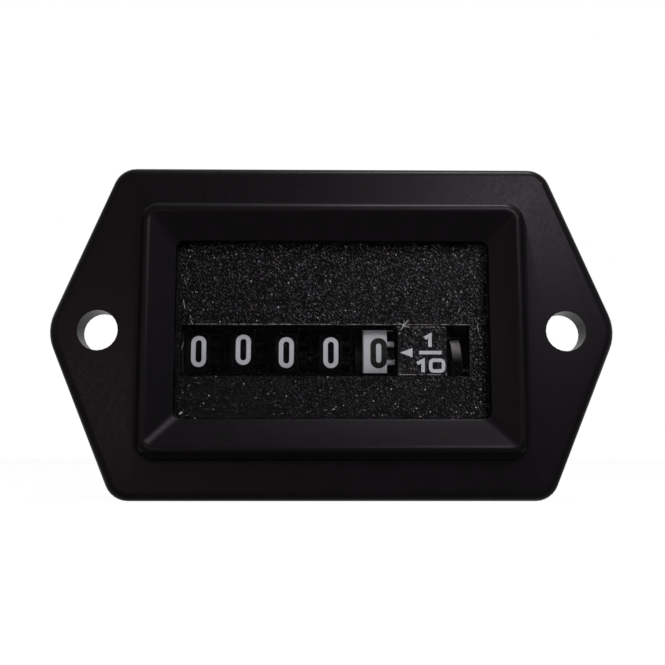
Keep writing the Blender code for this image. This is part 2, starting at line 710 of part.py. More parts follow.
def make_drive_arbor():
    """The arbor that turns the tenths wheel: a steel arbor with a pinion and a gear on it."""
    bore = ARBOR_RADIUS + SHAFT_GAP
    pinion_left = TENTHS_WHEEL_X + RIM_TO_RIGHT + 0.1
    steel = arbor(ARBOR_RADIUS, DRIVE_AXIS, pinion_left, pivot_ends()[1])
    finish(steel, "drive_arbor", (0.55, 0.55, 0.56), 0.3, metallic=1.0)
    phase = meshed_phase(wheel_phase(), WHEEL_TEETH, PINION_TEETH, DRIVE_DIRECTION)
    place = (0, *DRIVE_AXIS)
    pinion = plate([gear_outline(PINION_TEETH, COUNTER_MODULE, phase),
                    circle(bore, steps=SMALL_STEPS)],
                   pinion_left, MID_PLATE_LEFT - RUNNING_GAP, AXLE, place)
    finish(pinion, "drive_pinion", (0.62, 0.63, 0.6), 0.45)
    gear = plate([gear_outline(DRIVE_TEETH, TRAIN_MODULE, 0), circle(bore, steps=SMALL_STEPS)],
                 DRIVE_GEAR_X, DRIVE_GEAR_X + TRAIN_GEAR_WIDTH, AXLE, place)
    finish(gear, "drive_gear", (0.7, 0.68, 0.6), 0.45)


def make_train_wheel(name, axis, pinion_x, pinion_phase, gear_x, teeth, ends):
    """A moulded arbor with a pinion and a gear."""
    wheel = arbor(ARBOR_RADIUS, axis, *ends)
    join(wheel,
         toothed_disc(PINION_TEETH, TRAIN_MODULE, pinion_phase, axis,
                      pinion_x - PINION_OVERHANG, TRAIN_PINION_WIDTH),
         toothed_disc(teeth, TRAIN_MODULE, 0, axis, gear_x, TRAIN_GEAR_WIDTH))
    return finish(wheel, name, (0.7, 0.68, 0.6), 0.45)


def make_train():
    make_drive_arbor()
    ends = pivot_ends()
    make_train_wheel(
        "second_wheel", SECOND_AXIS, DRIVE_GEAR_X,
        meshed_phase(0, DRIVE_TEETH, PINION_TEETH, SECOND_DIRECTION),
        SECOND_GEAR_X, SECOND_TEETH, ends)
    make_train_wheel(
        "third_wheel", THIRD_AXIS, SECOND_GEAR_X,
        meshed_phase(0, SECOND_TEETH, PINION_TEETH, THIRD_DIRECTION),
        THIRD_GEAR_X, THIRD_TEETH, ends)
    make_indicator(ends)
    make_rotor(ends)


def make_indicator(ends):
    """The running indicator: a small drum behind the slot, turned by the third wheel."""
    drum = turned([
        (ARBOR_RADIUS * 0.5, INDICATOR_LEFT + INDICATOR_WIDTH),
        (INDICATOR_RADIUS, INDICATOR_LEFT + INDICATOR_WIDTH),
        (INDICATOR_RADIUS, INDICATOR_LEFT),
        (ARBOR_RADIUS * 0.5, INDICATOR_LEFT),
    ], AXLE, (0, *INDICATOR_AXIS), ROUND_STEPS)
    phase = meshed_phase(0, THIRD_TEETH, PINION_TEETH, INDICATOR_DIRECTION)
    join(drum,
         toothed_disc(PINION_TEETH, TRAIN_MODULE, phase, INDICATOR_AXIS,
                      THIRD_GEAR_X - PINION_OVERHANG, TRAIN_PINION_WIDTH),
         arbor(ARBOR_RADIUS, INDICATOR_AXIS, *ends))
    return finish(drum, "running_indicator", (0.03, 0.03, 0.033), 0.45)


def make_rotor(ends):
    """The motor's rotor: a moulded arbor with its pinion, and a ring magnet on it."""
    phase = meshed_phase(0, THIRD_TEETH, PINION_TEETH, ROTOR_DIRECTION)
    rotor = arbor(ARBOR_RADIUS, ROTOR_AXIS, *ends)
    join(rotor, toothed_disc(PINION_TEETH, TRAIN_MODULE, phase, ROTOR_AXIS,
                             THIRD_GEAR_X - PINION_OVERHANG, TRAIN_PINION_WIDTH))
    finish(rotor, "rotor_arbor", (0.7, 0.68, 0.6), 0.45)
    start = COIL_X - MAGNET_LENGTH / 2
    magnet = turned([
        (ARBOR_RADIUS + SHAFT_GAP, start + MAGNET_LENGTH),
        (MAGNET_RADIUS, start + MAGNET_LENGTH),
        (MAGNET_RADIUS, start),
        (ARBOR_RADIUS + SHAFT_GAP, start),
    ], AXLE, (0, *ROTOR_AXIS), SMALL_STEPS * 2)
    finish(magnet, "rotor_magnet", (0.12, 0.12, 0.125), 0.4, metallic=0.6)


def pivot_holes(*axes):
    return [circle(ARBOR_RADIUS + SHAFT_GAP, axis, SMALL_STEPS) for axis in axes]


def make_counter_frame():
    """Left cheek and mid plate joined by webs above and below, with posts for the bridge."""
    half = MOVEMENT_HEIGHT / 2
    side = rectangle(MOVEMENT_FRONT, -half, MOVEMENT_BACK, half)
    shafts = [circle(SHAFT_RADIUS + SHAFT_GAP, axis, SMALL_STEPS)
              for axis in (WHEEL_AXIS, TRANSFER_AXIS)]
    pivots = pivot_holes(DRIVE_AXIS, SECOND_AXIS, THIRD_AXIS, INDICATOR_AXIS, ROTOR_AXIS)
    frame = plate([side, *shafts, *pivots], MID_PLATE_LEFT, MID_PLATE_RIGHT, AXLE)
    cheek = plate([side, *shafts], CHEEK_LEFT, CHEEK_LEFT + CHEEK_THICKNESS, AXLE)
    webs = [box((CHEEK_LEFT + OVERLAP, WEB_FRONT, low),
                (MID_PLATE_RIGHT - OVERLAP, MOVEMENT_BACK - 3, low + WEB_THICKNESS))
            for low in (-half + 0.01, half - WEB_THICKNESS - 0.01)]
    posts = [turned([
        (0.2, BRIDGE_RIGHT), (POST_PIN_RADIUS, BRIDGE_RIGHT),
        (POST_PIN_RADIUS, BRIDGE_LEFT - 0.1), (POST_RADIUS, BRIDGE_LEFT - 0.1),
        (POST_RADIUS, MID_PLATE_RIGHT - OVERLAP), (0.2, MID_PLATE_RIGHT - OVERLAP),
    ], AXLE, (0, *post), SMALL_STEPS) for post in POSTS]
    join(frame, cheek, *webs, *posts)
    return finish(frame, "counter_frame", (0.05, 0.05, 0.052), 0.5)


def make_bridge():
    """The bridge plate that closes the train, with two pegs for the stator."""
    half = MOVEMENT_HEIGHT / 2
    holes = pivot_holes(DRIVE_AXIS, SECOND_AXIS, THIRD_AXIS, INDICATOR_AXIS, ROTOR_AXIS)
    holes += [circle(POST_PIN_RADIUS + SHAFT_GAP, post, SMALL_STEPS) for post in POSTS]
    side = rectangle(MOVEMENT_FRONT, -half, MOVEMENT_BACK, half)
    bridge = plate([side, *holes], BRIDGE_LEFT, BRIDGE_RIGHT, AXLE)
    pegs = [turned([
        (0.2, BRIDGE_LEFT + OVERLAP), (POST_RADIUS, BRIDGE_LEFT + OVERLAP),
        (POST_RADIUS, STATOR_RIGHT + 0.1), (POST_PIN_RADIUS, STATOR_RIGHT + 0.1),
        (POST_PIN_RADIUS, STATOR_X - 0.4), (0.2, STATOR_X - 0.4),
    ], AXLE, (0, *peg), SMALL_STEPS) for peg in PEGS]
    join(bridge, *pegs)
    return finish(bridge, "bridge_plate", (0.05, 0.05, 0.052), 0.5)


def make_motor():
    """Stator plate around the rotor, with its coil on a core behind the train."""
    right = COIL_Y + CORE_WIDTH / 2 + OVERLAP
    outline = [
        (STATOR_LEFT_Y, STATOR_BOTTOM_Z),
        (right, STATOR_BOTTOM_Z),
        (right, STATOR_FOOT_TOP),
        (STATOR_LEFT_Y + STATOR_BAR, STATOR_FOOT_TOP),
        (STATOR_LEFT_Y + STATOR_BAR, STATOR_TOP_Z - STATOR_BAR),
        (right, STATOR_TOP_Z - STATOR_BAR),
        (right, STATOR_TOP_Z),
        (STATOR_LEFT_Y, STATOR_TOP_Z),
    ]
    holes = [circle(MAGNET_RADIUS + ROTOR_HOLE_GAP, ROTOR_AXIS)]
    holes += [circle(POST_PIN_RADIUS + SHAFT_GAP, peg, SMALL_STEPS) for peg in PEGS]
    stator = plate([outline, *holes], STATOR_X, STATOR_RIGHT, AXLE)
    finish(stator, "stator", (0.45, 0.45, 0.46), 0.35, metallic=0.9)

    core = box((STATOR_X - SEAT_GAP - STATOR_THICKNESS, COIL_Y - CORE_WIDTH / 2,
                STATOR_FOOT_TOP - STATOR_BAR),
               (STATOR_X - SEAT_GAP, COIL_Y + CORE_WIDTH / 2, STATOR_TOP_Z))
    finish(core, "coil_core", (0.45, 0.45, 0.46), 0.35, metallic=0.9)

    core_x = STATOR_X - SEAT_GAP - STATOR_THICKNESS / 2
    place = (core_x, COIL_Y, 0)
    bore = BOBBIN_TUBE_RADIUS - BOBBIN_WALL
    bobbin = turned([
        (bore, COIL_TOP), (BOBBIN_FLANGE_RADIUS, COIL_TOP),
        (BOBBIN_FLANGE_RADIUS, COIL_TOP - BOBBIN_FLANGE),
        (BOBBIN_TUBE_RADIUS, COIL_TOP - BOBBIN_FLANGE),
        (BOBBIN_TUBE_RADIUS, COIL_BOTTOM + BOBBIN_FLANGE),
        (BOBBIN_FLANGE_RADIUS, COIL_BOTTOM + BOBBIN_FLANGE),
        (BOBBIN_FLANGE_RADIUS, COIL_BOTTOM), (bore, COIL_BOTTOM),
    ], (0, 0, 0), place, COIL_STEPS)
    finish(bobbin, "coil_bobbin", (0.7, 0.68, 0.6), 0.5)
    winding = turned([
        (BOBBIN_TUBE_RADIUS + 0.1, COIL_TOP - BOBBIN_FLANGE - 0.1),
        (WINDING_RADIUS, COIL_TOP - BOBBIN_FLANGE - 0.1),
        (WINDING_RADIUS, COIL_BOTTOM + BOBBIN_FLANGE + 0.1),
        (BOBBIN_TUBE_RADIUS + 0.1, COIL_BOTTOM + BOBBIN_FLANGE + 0.1),
    ], (0, 0, 0), place, COIL_STEPS)
    finish(winding, "coil_winding", (0.45, 0.14, 0.05), 0.35, metallic=0.8)
    spread = 3 * LEAD_RADIUS
    low = COIL_BOTTOM - LEAD_DROP
    make_lead("coil_lead_start", core_x - spread, low)
    make_lead("coil_lead_end", core_x + spread, low - LEAD_SPACING)


def make_lead(name, coil_x, low):
    """A wire from under the bobbin, behind the mid plate's edge, to the edge of the board."""
    y = BOARD_BACK - BOARD_THICKNESS / 2
    bend = 3 * LEAD_RADIUS
    inner = bend * (1 - cos(pi / 4))
    route = [
        (coil_x, COIL_BOTTOM - LEAD_RADIUS - SHOULDER),
        (coil_x, low + bend),
        (coil_x - inner, low + inner),
        (coil_x - bend, low),
        (BOARD_RIGHT + SEAT_GAP, low),
    ]
    bm = bmesh.new()
    rings = []
    for n, (x, z) in enumerate(route):
        before = route[max(n - 1, 0)]
        after = route[min(n + 1, len(route) - 1)]
        angle = atan2(after[1] - before[1], after[0] - before[0])
        rings.append([bm.verts.new((
            x - LEAD_RADIUS * cos(2 * pi * k / SMALL_STEPS) * sin(angle),
            y + LEAD_RADIUS * sin(2 * pi * k / SMALL_STEPS),
            z + LEAD_RADIUS * cos(2 * pi * k / SMALL_STEPS) * cos(angle),
        )) for k in range(SMALL_STEPS)])
    for ring, after in zip(rings, rings[1:]):
        for k in range(SMALL_STEPS):
            m = (k + 1) % SMALL_STEPS
            bm.faces.new((ring[k], ring[m], after[m], after[k]))
    bm.faces.new(rings[0])
    bm.faces.new(rings[-1])
    bmesh.ops.recalc_face_normals(bm, faces=bm.faces)
    return finish(add_object(name, mesh_from(name, bm)), name, (0.45, 0.14, 0.05), 0.35,
                  metallic=0.8)


def component(name, radius, length, x, z, colour, roughness=0.4, metallic=0.0):
    """A round component lying along X on the front of the board."""
    y = BOARD_FRONT - SEAT_GAP - radius
    body = cylinder(radius, x - length / 2, x + length / 2, AXLE, (0, y, z), 16)
    return finish(body, name, colour, roughness, metallic)


def make_board():
    half = MOVEMENT_HEIGHT / 2
    outline = rectangle(CHEEK_LEFT, -half, BOARD_RIGHT, half)
    board = plate([outline], -BOARD_BACK, -BOARD_FRONT, FACING)
    finish(board, "circuit_board", (0.03, 0.16, 0.07), 0.45)
    width, depth, height = CHIP_SIZE
    x, z = CHIP_PLACE
    back = BOARD_FRONT - SEAT_GAP
    chip = box((x - width / 2, back - depth, z - height / 2),
               (x + width / 2, back, z + height / 2))
    finish(chip, "driver_chip", (0.02, 0.02, 0.02), 0.5)
    component("quartz_crystal", *QUARTZ, (0.6, 0.6, 0.6), 0.25, 1.0)
    component("capacitor", *CAPACITOR, (0.03, 0.03, 0.08), 0.3)
    component("resistor", *RESISTOR, (0.65, 0.5, 0.3), 0.45)
    component("diode", *DIODE, (0.02, 0.02, 0.02), 0.35)


def make_terminal(name, x, foot_side):
    """A push-on blade standing on the board, bent into a foot."""
    start = BOARD_BACK + SEAT_GAP
    end = COVER_BACK + BLADE_LENGTH
    half = BLADE_WIDTH / 2
    outline = [
        (start, -half), (end - BLADE_CHAMFER, -half), (end, -half + BLADE_CHAMFER),
        (end, half - BLADE_CHAMFER), (end - BLADE_CHAMFER, half), (start, half),
    ]
    hole = circle(BLADE_HOLE_DIAMETER / 2, (end - BLADE_LENGTH / 2, 0), SMALL_STEPS)
    left = x - BLADE_THICKNESS / 2
    blade = plate([outline, hole], left, left + BLADE_THICKNESS, AXLE)
    reach = x + foot_side * FOOT_LENGTH
    foot = box((min(reach, x), start + 0.01, -half + 0.01),
               (max(reach, x), start + BLADE_THICKNESS, half - 0.01))
    join(blade, foot)
    return finish(blade, name, (0.78, 0.72, 0.5), 0.3, metallic=1.0)


def make_cover():
    """The rear cover, with a spigot that presses the board home and a collar at each blade."""
    cover = plate([rounded_rectangle(BOX_WIDTH, BOX_HEIGHT, BOX_CORNER_RADIUS)],
                  -COVER_BACK, -COVER_FRONT, FACING)
    width = POCKET_WIDTH - 2 * SEAT_GAP
    height = POCKET_HEIGHT - 2 * SEAT_GAP
    spigot = plate([rounded_rectangle(width, height, POCKET_CORNER_RADIUS),
                    rounded_rectangle(width - 2 * SPIGOT_THICKNESS,
                                      height - 2 * SPIGOT_THICKNESS, POCKET_CORNER_RADIUS)],
                   -COVER_FRONT - OVERLAP, -COVER_FRONT + SPIGOT_DEPTH, FACING)
    join(cover, spigot)
    half_width = BLADE_THICKNESS / 2 + SEAT_GAP
    half_height = BLADE_WIDTH / 2 + SEAT_GAP
    for side in (-1, 1):
        x = side * TERMINAL_SPACING / 2
        join(cover, box(
            (x - half_width - COLLAR_WALL, COVER_BACK - OVERLAP, -half_height - COLLAR_WALL),
            (x + half_width + COLLAR_WALL, COVER_BACK + COLLAR_DEPTH, half_height + COLLAR_WALL)))
        cut(cover, box((x - half_width, COVER_FRONT - 1, -half_height),
                       (x + half_width, COVER_BACK + COLLAR_DEPTH + 1, half_height)))
    return finish(cover, "rear_cover", (0.022, 0.022, 0.024), 0.45)


make_case()
make_lens()
make_dial()
make_tenth_plate()
make_counter()
make_train()
make_counter_frame()
make_bridge()
make_motor()
make_board()
make_terminal("terminal_left", -TERMINAL_SPACING / 2, 1)
make_terminal("terminal_right", TERMINAL_SPACING / 2, -1)
make_cover()
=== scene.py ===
"""Looks for the panel hour meter: materials, printed digits, small fittings, light and camera.

Sizes are written in millimetres and scaled to metres as each mesh is made. X runs to the right,
Z up, and the front faces -Y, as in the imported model.
"""

import json
import random
from math import cos, hypot, pi, radians, sin

import bmesh
import bpy
from mathutils import Matrix, Vector

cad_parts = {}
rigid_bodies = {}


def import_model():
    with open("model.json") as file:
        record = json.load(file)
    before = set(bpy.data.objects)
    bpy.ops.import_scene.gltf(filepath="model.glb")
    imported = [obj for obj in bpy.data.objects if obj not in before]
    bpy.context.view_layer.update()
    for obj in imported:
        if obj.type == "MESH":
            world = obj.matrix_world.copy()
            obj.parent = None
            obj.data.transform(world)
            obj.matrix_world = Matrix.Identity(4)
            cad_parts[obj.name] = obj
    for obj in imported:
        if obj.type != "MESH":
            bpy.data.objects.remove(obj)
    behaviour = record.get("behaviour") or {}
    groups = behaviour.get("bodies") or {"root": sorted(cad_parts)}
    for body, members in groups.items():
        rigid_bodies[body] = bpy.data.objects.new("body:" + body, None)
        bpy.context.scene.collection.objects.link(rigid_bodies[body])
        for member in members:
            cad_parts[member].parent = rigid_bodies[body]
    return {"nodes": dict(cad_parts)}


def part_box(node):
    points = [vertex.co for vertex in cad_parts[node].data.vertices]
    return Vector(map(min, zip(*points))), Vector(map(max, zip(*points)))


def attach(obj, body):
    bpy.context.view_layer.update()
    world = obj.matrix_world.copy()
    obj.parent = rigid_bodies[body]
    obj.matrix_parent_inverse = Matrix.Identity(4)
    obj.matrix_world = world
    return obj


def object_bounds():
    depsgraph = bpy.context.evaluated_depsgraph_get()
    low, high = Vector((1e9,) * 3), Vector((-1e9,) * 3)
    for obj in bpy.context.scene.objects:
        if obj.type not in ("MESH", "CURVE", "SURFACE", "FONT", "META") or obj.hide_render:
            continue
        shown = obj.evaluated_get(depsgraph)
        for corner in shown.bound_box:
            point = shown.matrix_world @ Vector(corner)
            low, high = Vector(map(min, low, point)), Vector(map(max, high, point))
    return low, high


MM = 0.001

for old in list(bpy.data.objects):
    bpy.data.objects.remove(old, do_unlink=True)

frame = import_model()
nodes = frame["nodes"]
cad_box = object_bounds()

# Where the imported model's faces lie, the axes of its wheels and indicator, and the wheels' radius
wheel_low, wheel_high = (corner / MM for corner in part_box("units_wheel"))
WHEEL_Y = (wheel_low.y + wheel_high.y) / 2
WHEEL_Z = (wheel_low.z + wheel_high.z) / 2
WHEEL_RADIUS = (wheel_high.y - wheel_low.y) / 2
DIAL_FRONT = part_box("dial_plate")[0].y / MM
INSERT_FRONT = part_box("tenth_plate")[0].y / MM
INSERT_LOW, INSERT_TOP = (corner.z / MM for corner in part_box("tenth_plate"))
BOARD_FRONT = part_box("circuit_board")[0].y / MM
FLANGE_LOW = cad_box[0].z / MM
indicator_low, indicator_high = (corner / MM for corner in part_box("running_indicator"))
INDICATOR_Y = (indicator_low.y + indicator_high.y) / 2
INDICATOR_Z = (indicator_low.z + indicator_high.z) / 2

# How far from a front face a wall's own finish starts: dull on the case, and painted shade on the dial
# and its insert
FRONT_MARGIN = 0.12

# The white wheel's rim from side to side, and how far out its teeth turn white; inside that radius and
# left of the rim, black is painted in as shade
TENTHS_RIM_LEFT = 3.46
TENTHS_RIM_RIGHT = 6.06
TOOTH_SHADE_RADIUS = 6.2

# The stripe on the running indicator, in degrees up from the front: where its painted highlight fades
# in, where it ends, and its left end
STRIPE_HIGHLIGHT_FADE = (14, 72)
STRIPE_END = (118, 100)
STRIPE_LEFT = 13.35

# The flange's front, found at its right end, and the raised frame that stands on it, from its
# middle to its outer wall
END_LENGTH = 3.0
FRAME_STEP = 1.0
RIDGE_INSET = 0.6
case_points = [vertex.co / MM for vertex in nodes["case"].data.vertices]
FLANGE_FRONT = min(p.y for p in case_points if p.x > cad_box[1].x / MM - END_LENGTH)
frame_points = [p for p in case_points if p.y < FLANGE_FRONT - FRAME_STEP]
FRAME_HALF_WIDTH = max(p.x for p in frame_points)
FRAME_HALF_HEIGHT = max(p.z for p in frame_points)

# The dial's long slot, found from its corners on the dial's front, near the dial's middle
ON_FRONT = 0.05
SLOT_REACH = 6.0
slot_points = [vertex.co / MM for vertex in nodes["dial_plate"].data.vertices
               if vertex.co.y < MM * (DIAL_FRONT + ON_FRONT) and abs(vertex.co.z) < MM * SLOT_REACH]
SLOT_TOP = max(p.z for p in slot_points)
SLOT_LEFT = min(p.x for p in slot_points)
SLOT_RIGHT = max(p.x for p in slot_points)
SLOT_MIDDLE = (SLOT_LEFT + SLOT_RIGHT) / 2
SLOT_HALF_WIDTH = (SLOT_RIGHT - SLOT_LEFT) / 2

# The middle of each wheel's digits, how far its print stands to the right and up, and the
# digits' centre line, half its width and height, with the width of the stroke
WHEELS = {
    "thousands_wheel": (-14.5, -0.21, 0.06, 0.58, 1.49, 0.49),
    "hundreds_wheel": (-9.6, -0.20, 0.26, 0.58, 1.45, 0.49),
    "tens_wheel": (-4.7, -0.36, -0.05, 0.58, 1.47, 0.49),
    "units_wheel": (0.2, -0.35, -0.06, 0.58, 1.47, 0.49),
    "tenths_wheel": (5.1, 0.03, -0.10, 0.60, 1.39, 0.62),
}

# Print stands this high, reaches this deep into what carries it, and is laid in steps this long
PRINT_HEIGHT = 0.03
PRINT_DEPTH = 0.06
PRINT_STEP = 0.22
SAME_PLACE = 0.004

# The coil's rings of wire lie this far apart
WIRE_PITCH = 0.237


class Graph:
    """A material's nodes, with short calls for the ones used here."""

    def __init__(self, name):
        self.material = bpy.data.materials.new(name)
        self.material.use_nodes = True
        self.tree = self.material.node_tree
        self.shader = self.tree.nodes["Principled BSDF"]
        self.place = self.add("ShaderNodeTexCoord").outputs["Object"]

    def add(self, kind, **settings):
        node = self.tree.nodes.new(kind)
        for key, value in settings.items():
            setattr(node, key, value)
        return node

    def link(self, source, target):
        self.tree.links.new(source, target)

    def stretched(self, size, stretch, lean):
        """Places in steps of this many millimetres, longer where stretched.

        A lean, in degrees, turns the steps about Y, so that X runs down to the right.
        """
        mapping = self.add("ShaderNodeMapping", vector_type="TEXTURE")
        mapping.inputs["Rotation"].default_value = (0, radians(lean), 0)
        mapping.inputs["Scale"].default_value = [MM * size * s for s in stretch]
        self.link(self.place, mapping.inputs["Vector"])
        return mapping.outputs["Vector"]

    def noise(self, size, stretch=(1, 1, 1), detail=3.0, lean=0):
        node = self.add("ShaderNodeTexNoise")
        node.inputs["Scale"].default_value = 1.0
        node.inputs["Detail"].default_value = detail
        self.link(self.stretched(size, stretch, lean), node.inputs["Vector"])
        return node.outputs["Fac"]

    def cells(self, size):
        node = self.add("ShaderNodeTexVoronoi")
        node.inputs["Scale"].default_value = 1.0
        self.link(self.stretched(size, (1, 1, 1), 0), node.inputs["Vector"])
        return node.outputs["Distance"]

    def axes(self):
        """X, Y and Z of a place, in metres."""
        split = self.add("ShaderNodeSeparateXYZ")
        self.link(self.place, split.inputs["Vector"])
        return split.outputs["X"], split.outputs["Y"], split.outputs["Z"]

    def maths(self, operation, first, second=0.0):
        """One sum on two values, either of which may be another socket."""
        node = self.add("ShaderNodeMath", operation=operation)
        for value, target in zip((first, second), node.inputs):
            if isinstance(value, (int, float)):
                target.default_value = value
            else:
                self.link(value, target)
        return node.outputs["Value"]

    def near(self, source, middle, reach):
        """1 within this many millimetres of a place on one axis, and 0 beyond."""
        apart = self.maths("ABSOLUTE", self.maths("SUBTRACT", source, MM * middle))
        return self.maths("LESS_THAN", apart, MM * reach)

    def ranged(self, source, low, high, to_low=0.0, to_high=1.0):
        node = self.add("ShaderNodeMapRange")
        node.inputs["From Min"].default_value = low
        node.inputs["From Max"].default_value = high
        node.inputs["To Min"].default_value = to_low
        node.inputs["To Max"].default_value = to_high
        self.link(source, node.inputs["Value"])
        return node.outputs["Result"]

    def mixed(self, source, first, second):
        """One colour to another. Either may be a fixed colour or another socket."""
        node = self.add("ShaderNodeMix", data_type="RGBA")
        self.link(source, node.inputs["Factor"])
        for value, target in ((first, node.inputs[6]), (second, node.inputs[7])):
            if isinstance(value, tuple):
                target.default_value = (*value, 1.0)
            else:
                self.link(value, target)
        return node.outputs[2]

    def bumped(self, source, depth, after=None):
        """Relief of about this many millimetres, on top of another relief if one is given."""
        node = self.add("ShaderNodeBump")
        node.inputs["Strength"].default_value = 1.0
        node.inputs["Distance"].default_value = MM * depth
        self.link(source, node.inputs["Height"])
        if after is not None:
            self.link(after, node.inputs["Normal"])
        return node.outputs["Normal"]

    def soften(self, radius):
        node = self.add("ShaderNodeBevel", samples=4)
        node.inputs["Radius"].default_value = MM * radius
        return node.outputs["Normal"]

    def done(self, colour=None, roughness=None, normal=None, **constants):
        for source, name in ((colour, "Base Color"), (roughness, "Roughness"), (normal, "Normal")):
            if source is not None:
                self.link(source, self.shader.inputs[name])
        for key, value in constants.items():
            self.shader.inputs[key.replace("_", " ")].default_value = value
        return self.material


def moulded(name, dark, light, roughness=(0.36, 0.5), grain=0.004, edge=0.0, gloss=0.5):
    """Moulded plastic: broad cloudy colour, a finer change of gloss, a grain and softened edges."""
    g = Graph(name)
    cloud = g.noise(4.0)
    fine = g.noise(0.5, detail=4.0)
    colour = g.mixed(g.ranged(cloud, 0.3, 0.7), dark, light)
    rough = g.ranged(fine, 0.3, 0.7, *roughness)
    first = g.soften(edge) if edge else None
    normal = g.bumped(g.noise(0.12, detail=2.0), grain, first)
    return g.done(colour, rough, normal, Specular_IOR_Level=gloss)


def metal(name, dark, light, roughness=(0.22, 0.36), stretch=(12, 1, 1), relief=0.002,
          metallic=1.0):
    """Metal with fine drawn or blanked lines and slight staining."""
    g = Graph(name)
    lines = g.noise(0.08, stretch, detail=3.0)
    stain = g.noise(1.6)
    colour = g.mixed(g.ranged(stain, 0.35, 0.7), dark, light)
    return g.done(colour, g.ranged(lines, 0.3, 0.7, *roughness), g.bumped(lines, relief),
                  Metallic=metallic)


def case_material():
    """Satin moulded case. Its outer wall, below and beside the ridge, is left dull by the mould."""
    g = Graph("case_satin")
    cloud = g.noise(2.0, (0.8, 1, 1.6), detail=4.0)
    fine = g.noise(0.3, (1, 1, 1.4), detail=3.0)
    colour = g.mixed(g.ranged(cloud, 0.3, 0.7), (0.0001, 0.0001, 0.0001), (0.0006, 0.0004, 0.0006))
    x, y, z = g.axes()
    beside = g.maths("SUBTRACT", g.maths("ABSOLUTE", x), MM * (FRAME_HALF_WIDTH - RIDGE_INSET))
    below = g.maths("SUBTRACT", g.maths("MULTIPLY", z, -1.0), MM * (FRAME_HALF_HEIGHT - RIDGE_INSET))
    outside = g.maths("GREATER_THAN", g.maths("MAXIMUM", beside, below), 0.0)
    wall = g.maths("MULTIPLY", outside, g.maths("LESS_THAN", y, MM * (FLANGE_FRONT - FRONT_MARGIN)))
    rough = g.maths("MAXIMUM", g.ranged(fine, 0.3, 0.7, 0.29, 0.36), wall)
    normal = g.bumped(g.noise(0.15, detail=2.0), 0.003, g.soften(0.14))
    return g.done(colour, rough, normal, Specular_IOR_Level=0.048,
                  Specular_Tint=(1.0, 0.88, 1.0, 1.0))


def grain_and_painted_light(name, front, lines):
    """Black moulded face: a grain of short slanting strokes with painted glints on them, a painted
    sheen that rises to the upper right, pale dust specks, and painted shade on its walls back from the
    front.

    Each line is a height where a painted highlight lies along an edge, as far as the dial's slot is
    long.
    """
    g = Graph(name)
    x, y, z = g.axes()
    strokes = g.noise(0.15, (2.6, 1, 1), detail=1.5, lean=45)
    cross = g.noise(0.15, (1, 1, 2.2), detail=1.5, lean=-20)
    lumps = g.noise(0.6, (1.5, 1, 1), detail=4.0, lean=45)
    colour = g.mixed(g.ranged(lumps, 0.35, 0.65), (0.0004, 0.0003, 0.0005), (0.0018, 0.0015, 0.0020))
    # Painted highlight: pale glints on the grain's strokes, made stronger towards the upper right by a
    # painted sheen
    painted_glint = g.maths("MAXIMUM", g.ranged(strokes, 0.57, 0.72), g.ranged(cross, 0.62, 0.76))
    painted_sheen = g.ranged(g.maths("ADD", x, g.maths("MULTIPLY", z, 2.0)), MM * -25, MM * 30, 0.1, 0.9)
    painted_glint = g.maths("MULTIPLY", g.maths("MULTIPLY", painted_glint, painted_sheen), g.ranged(lumps, 0.38, 0.6, 0.3))
    colour = g.mixed(painted_glint, colour, (0.135, 0.122, 0.138))
    speck = g.ranged(g.cells(0.62), 0.13, 0.07)
    patchy = g.ranged(g.noise(1.3), 0.48, 0.56)
    colour = g.mixed(g.maths("MULTIPLY", speck, patchy), colour, (0.30, 0.29, 0.31))
    # Painted highlight: thin pale lines along the slot's and the insert's edges, broken up along their
    # length
    along = g.near(x, SLOT_MIDDLE, SLOT_HALF_WIDTH)
    broken_edge_highlight = g.maths("MULTIPLY", along, g.ranged(g.noise(0.3), 0.45, 0.6))
    for height in lines:
        colour = g.mixed(g.maths("MULTIPLY", g.near(z, height, 0.04), broken_edge_highlight), colour,
                         (0.15, 0.14, 0.15))
    # Painted shade: the walls back from the front are painted near black
    painted_shade_behind = g.maths("GREATER_THAN", y, MM * (front + FRONT_MARGIN))
    colour = g.mixed(painted_shade_behind, colour, (0.0002, 0.0002, 0.0002))
    rough = g.maths("MAXIMUM", g.ranged(strokes, 0.3, 0.7, 0.32, 0.48), painted_shade_behind)
    normal = g.bumped(strokes, 0.06, g.bumped(lumps, 0.08))
    return g.done(colour, rough, normal, Specular_IOR_Level=0.02)


def tenths_material():
    """White moulded rim and tooth tips, with painted shade in black beside the rim and between the
    teeth.
    """
    g = Graph("wheel_white")
    cloud = g.noise(4.0)
    white = g.mixed(g.ranged(cloud, 0.3, 0.7), (0.190, 0.200, 0.213), (0.230, 0.240, 0.253))
    x, y, z = g.axes()
    reach = g.maths("SQRT", g.maths("ADD", g.maths("POWER", g.maths("SUBTRACT", y, MM * WHEEL_Y), 2.0),
                                    g.maths("POWER", g.maths("SUBTRACT", z, MM * WHEEL_Z), 2.0)))
    # Painted shade: near black on the disc left of the rim and between the teeth, inside the tooth
    # shade radius
    beside = g.maths("LESS_THAN", x, MM * TENTHS_RIM_LEFT)
    beyond = g.maths("GREATER_THAN", x, MM * TENTHS_RIM_RIGHT)
    root = g.maths("MULTIPLY", beyond, g.maths("LESS_THAN", reach, MM * TOOTH_SHADE_RADIUS))
    colour = g.mixed(g.maths("MAXIMUM", beside, root), white, (0.0015, 0.0014, 0.0016))
    return g.done(colour, g.ranged(g.noise(0.5), 0.3, 0.7, 0.42, 0.55),
                  g.bumped(g.noise(0.12), 0.004, g.soften(0.05)), Specular_IOR_Level=0.1)


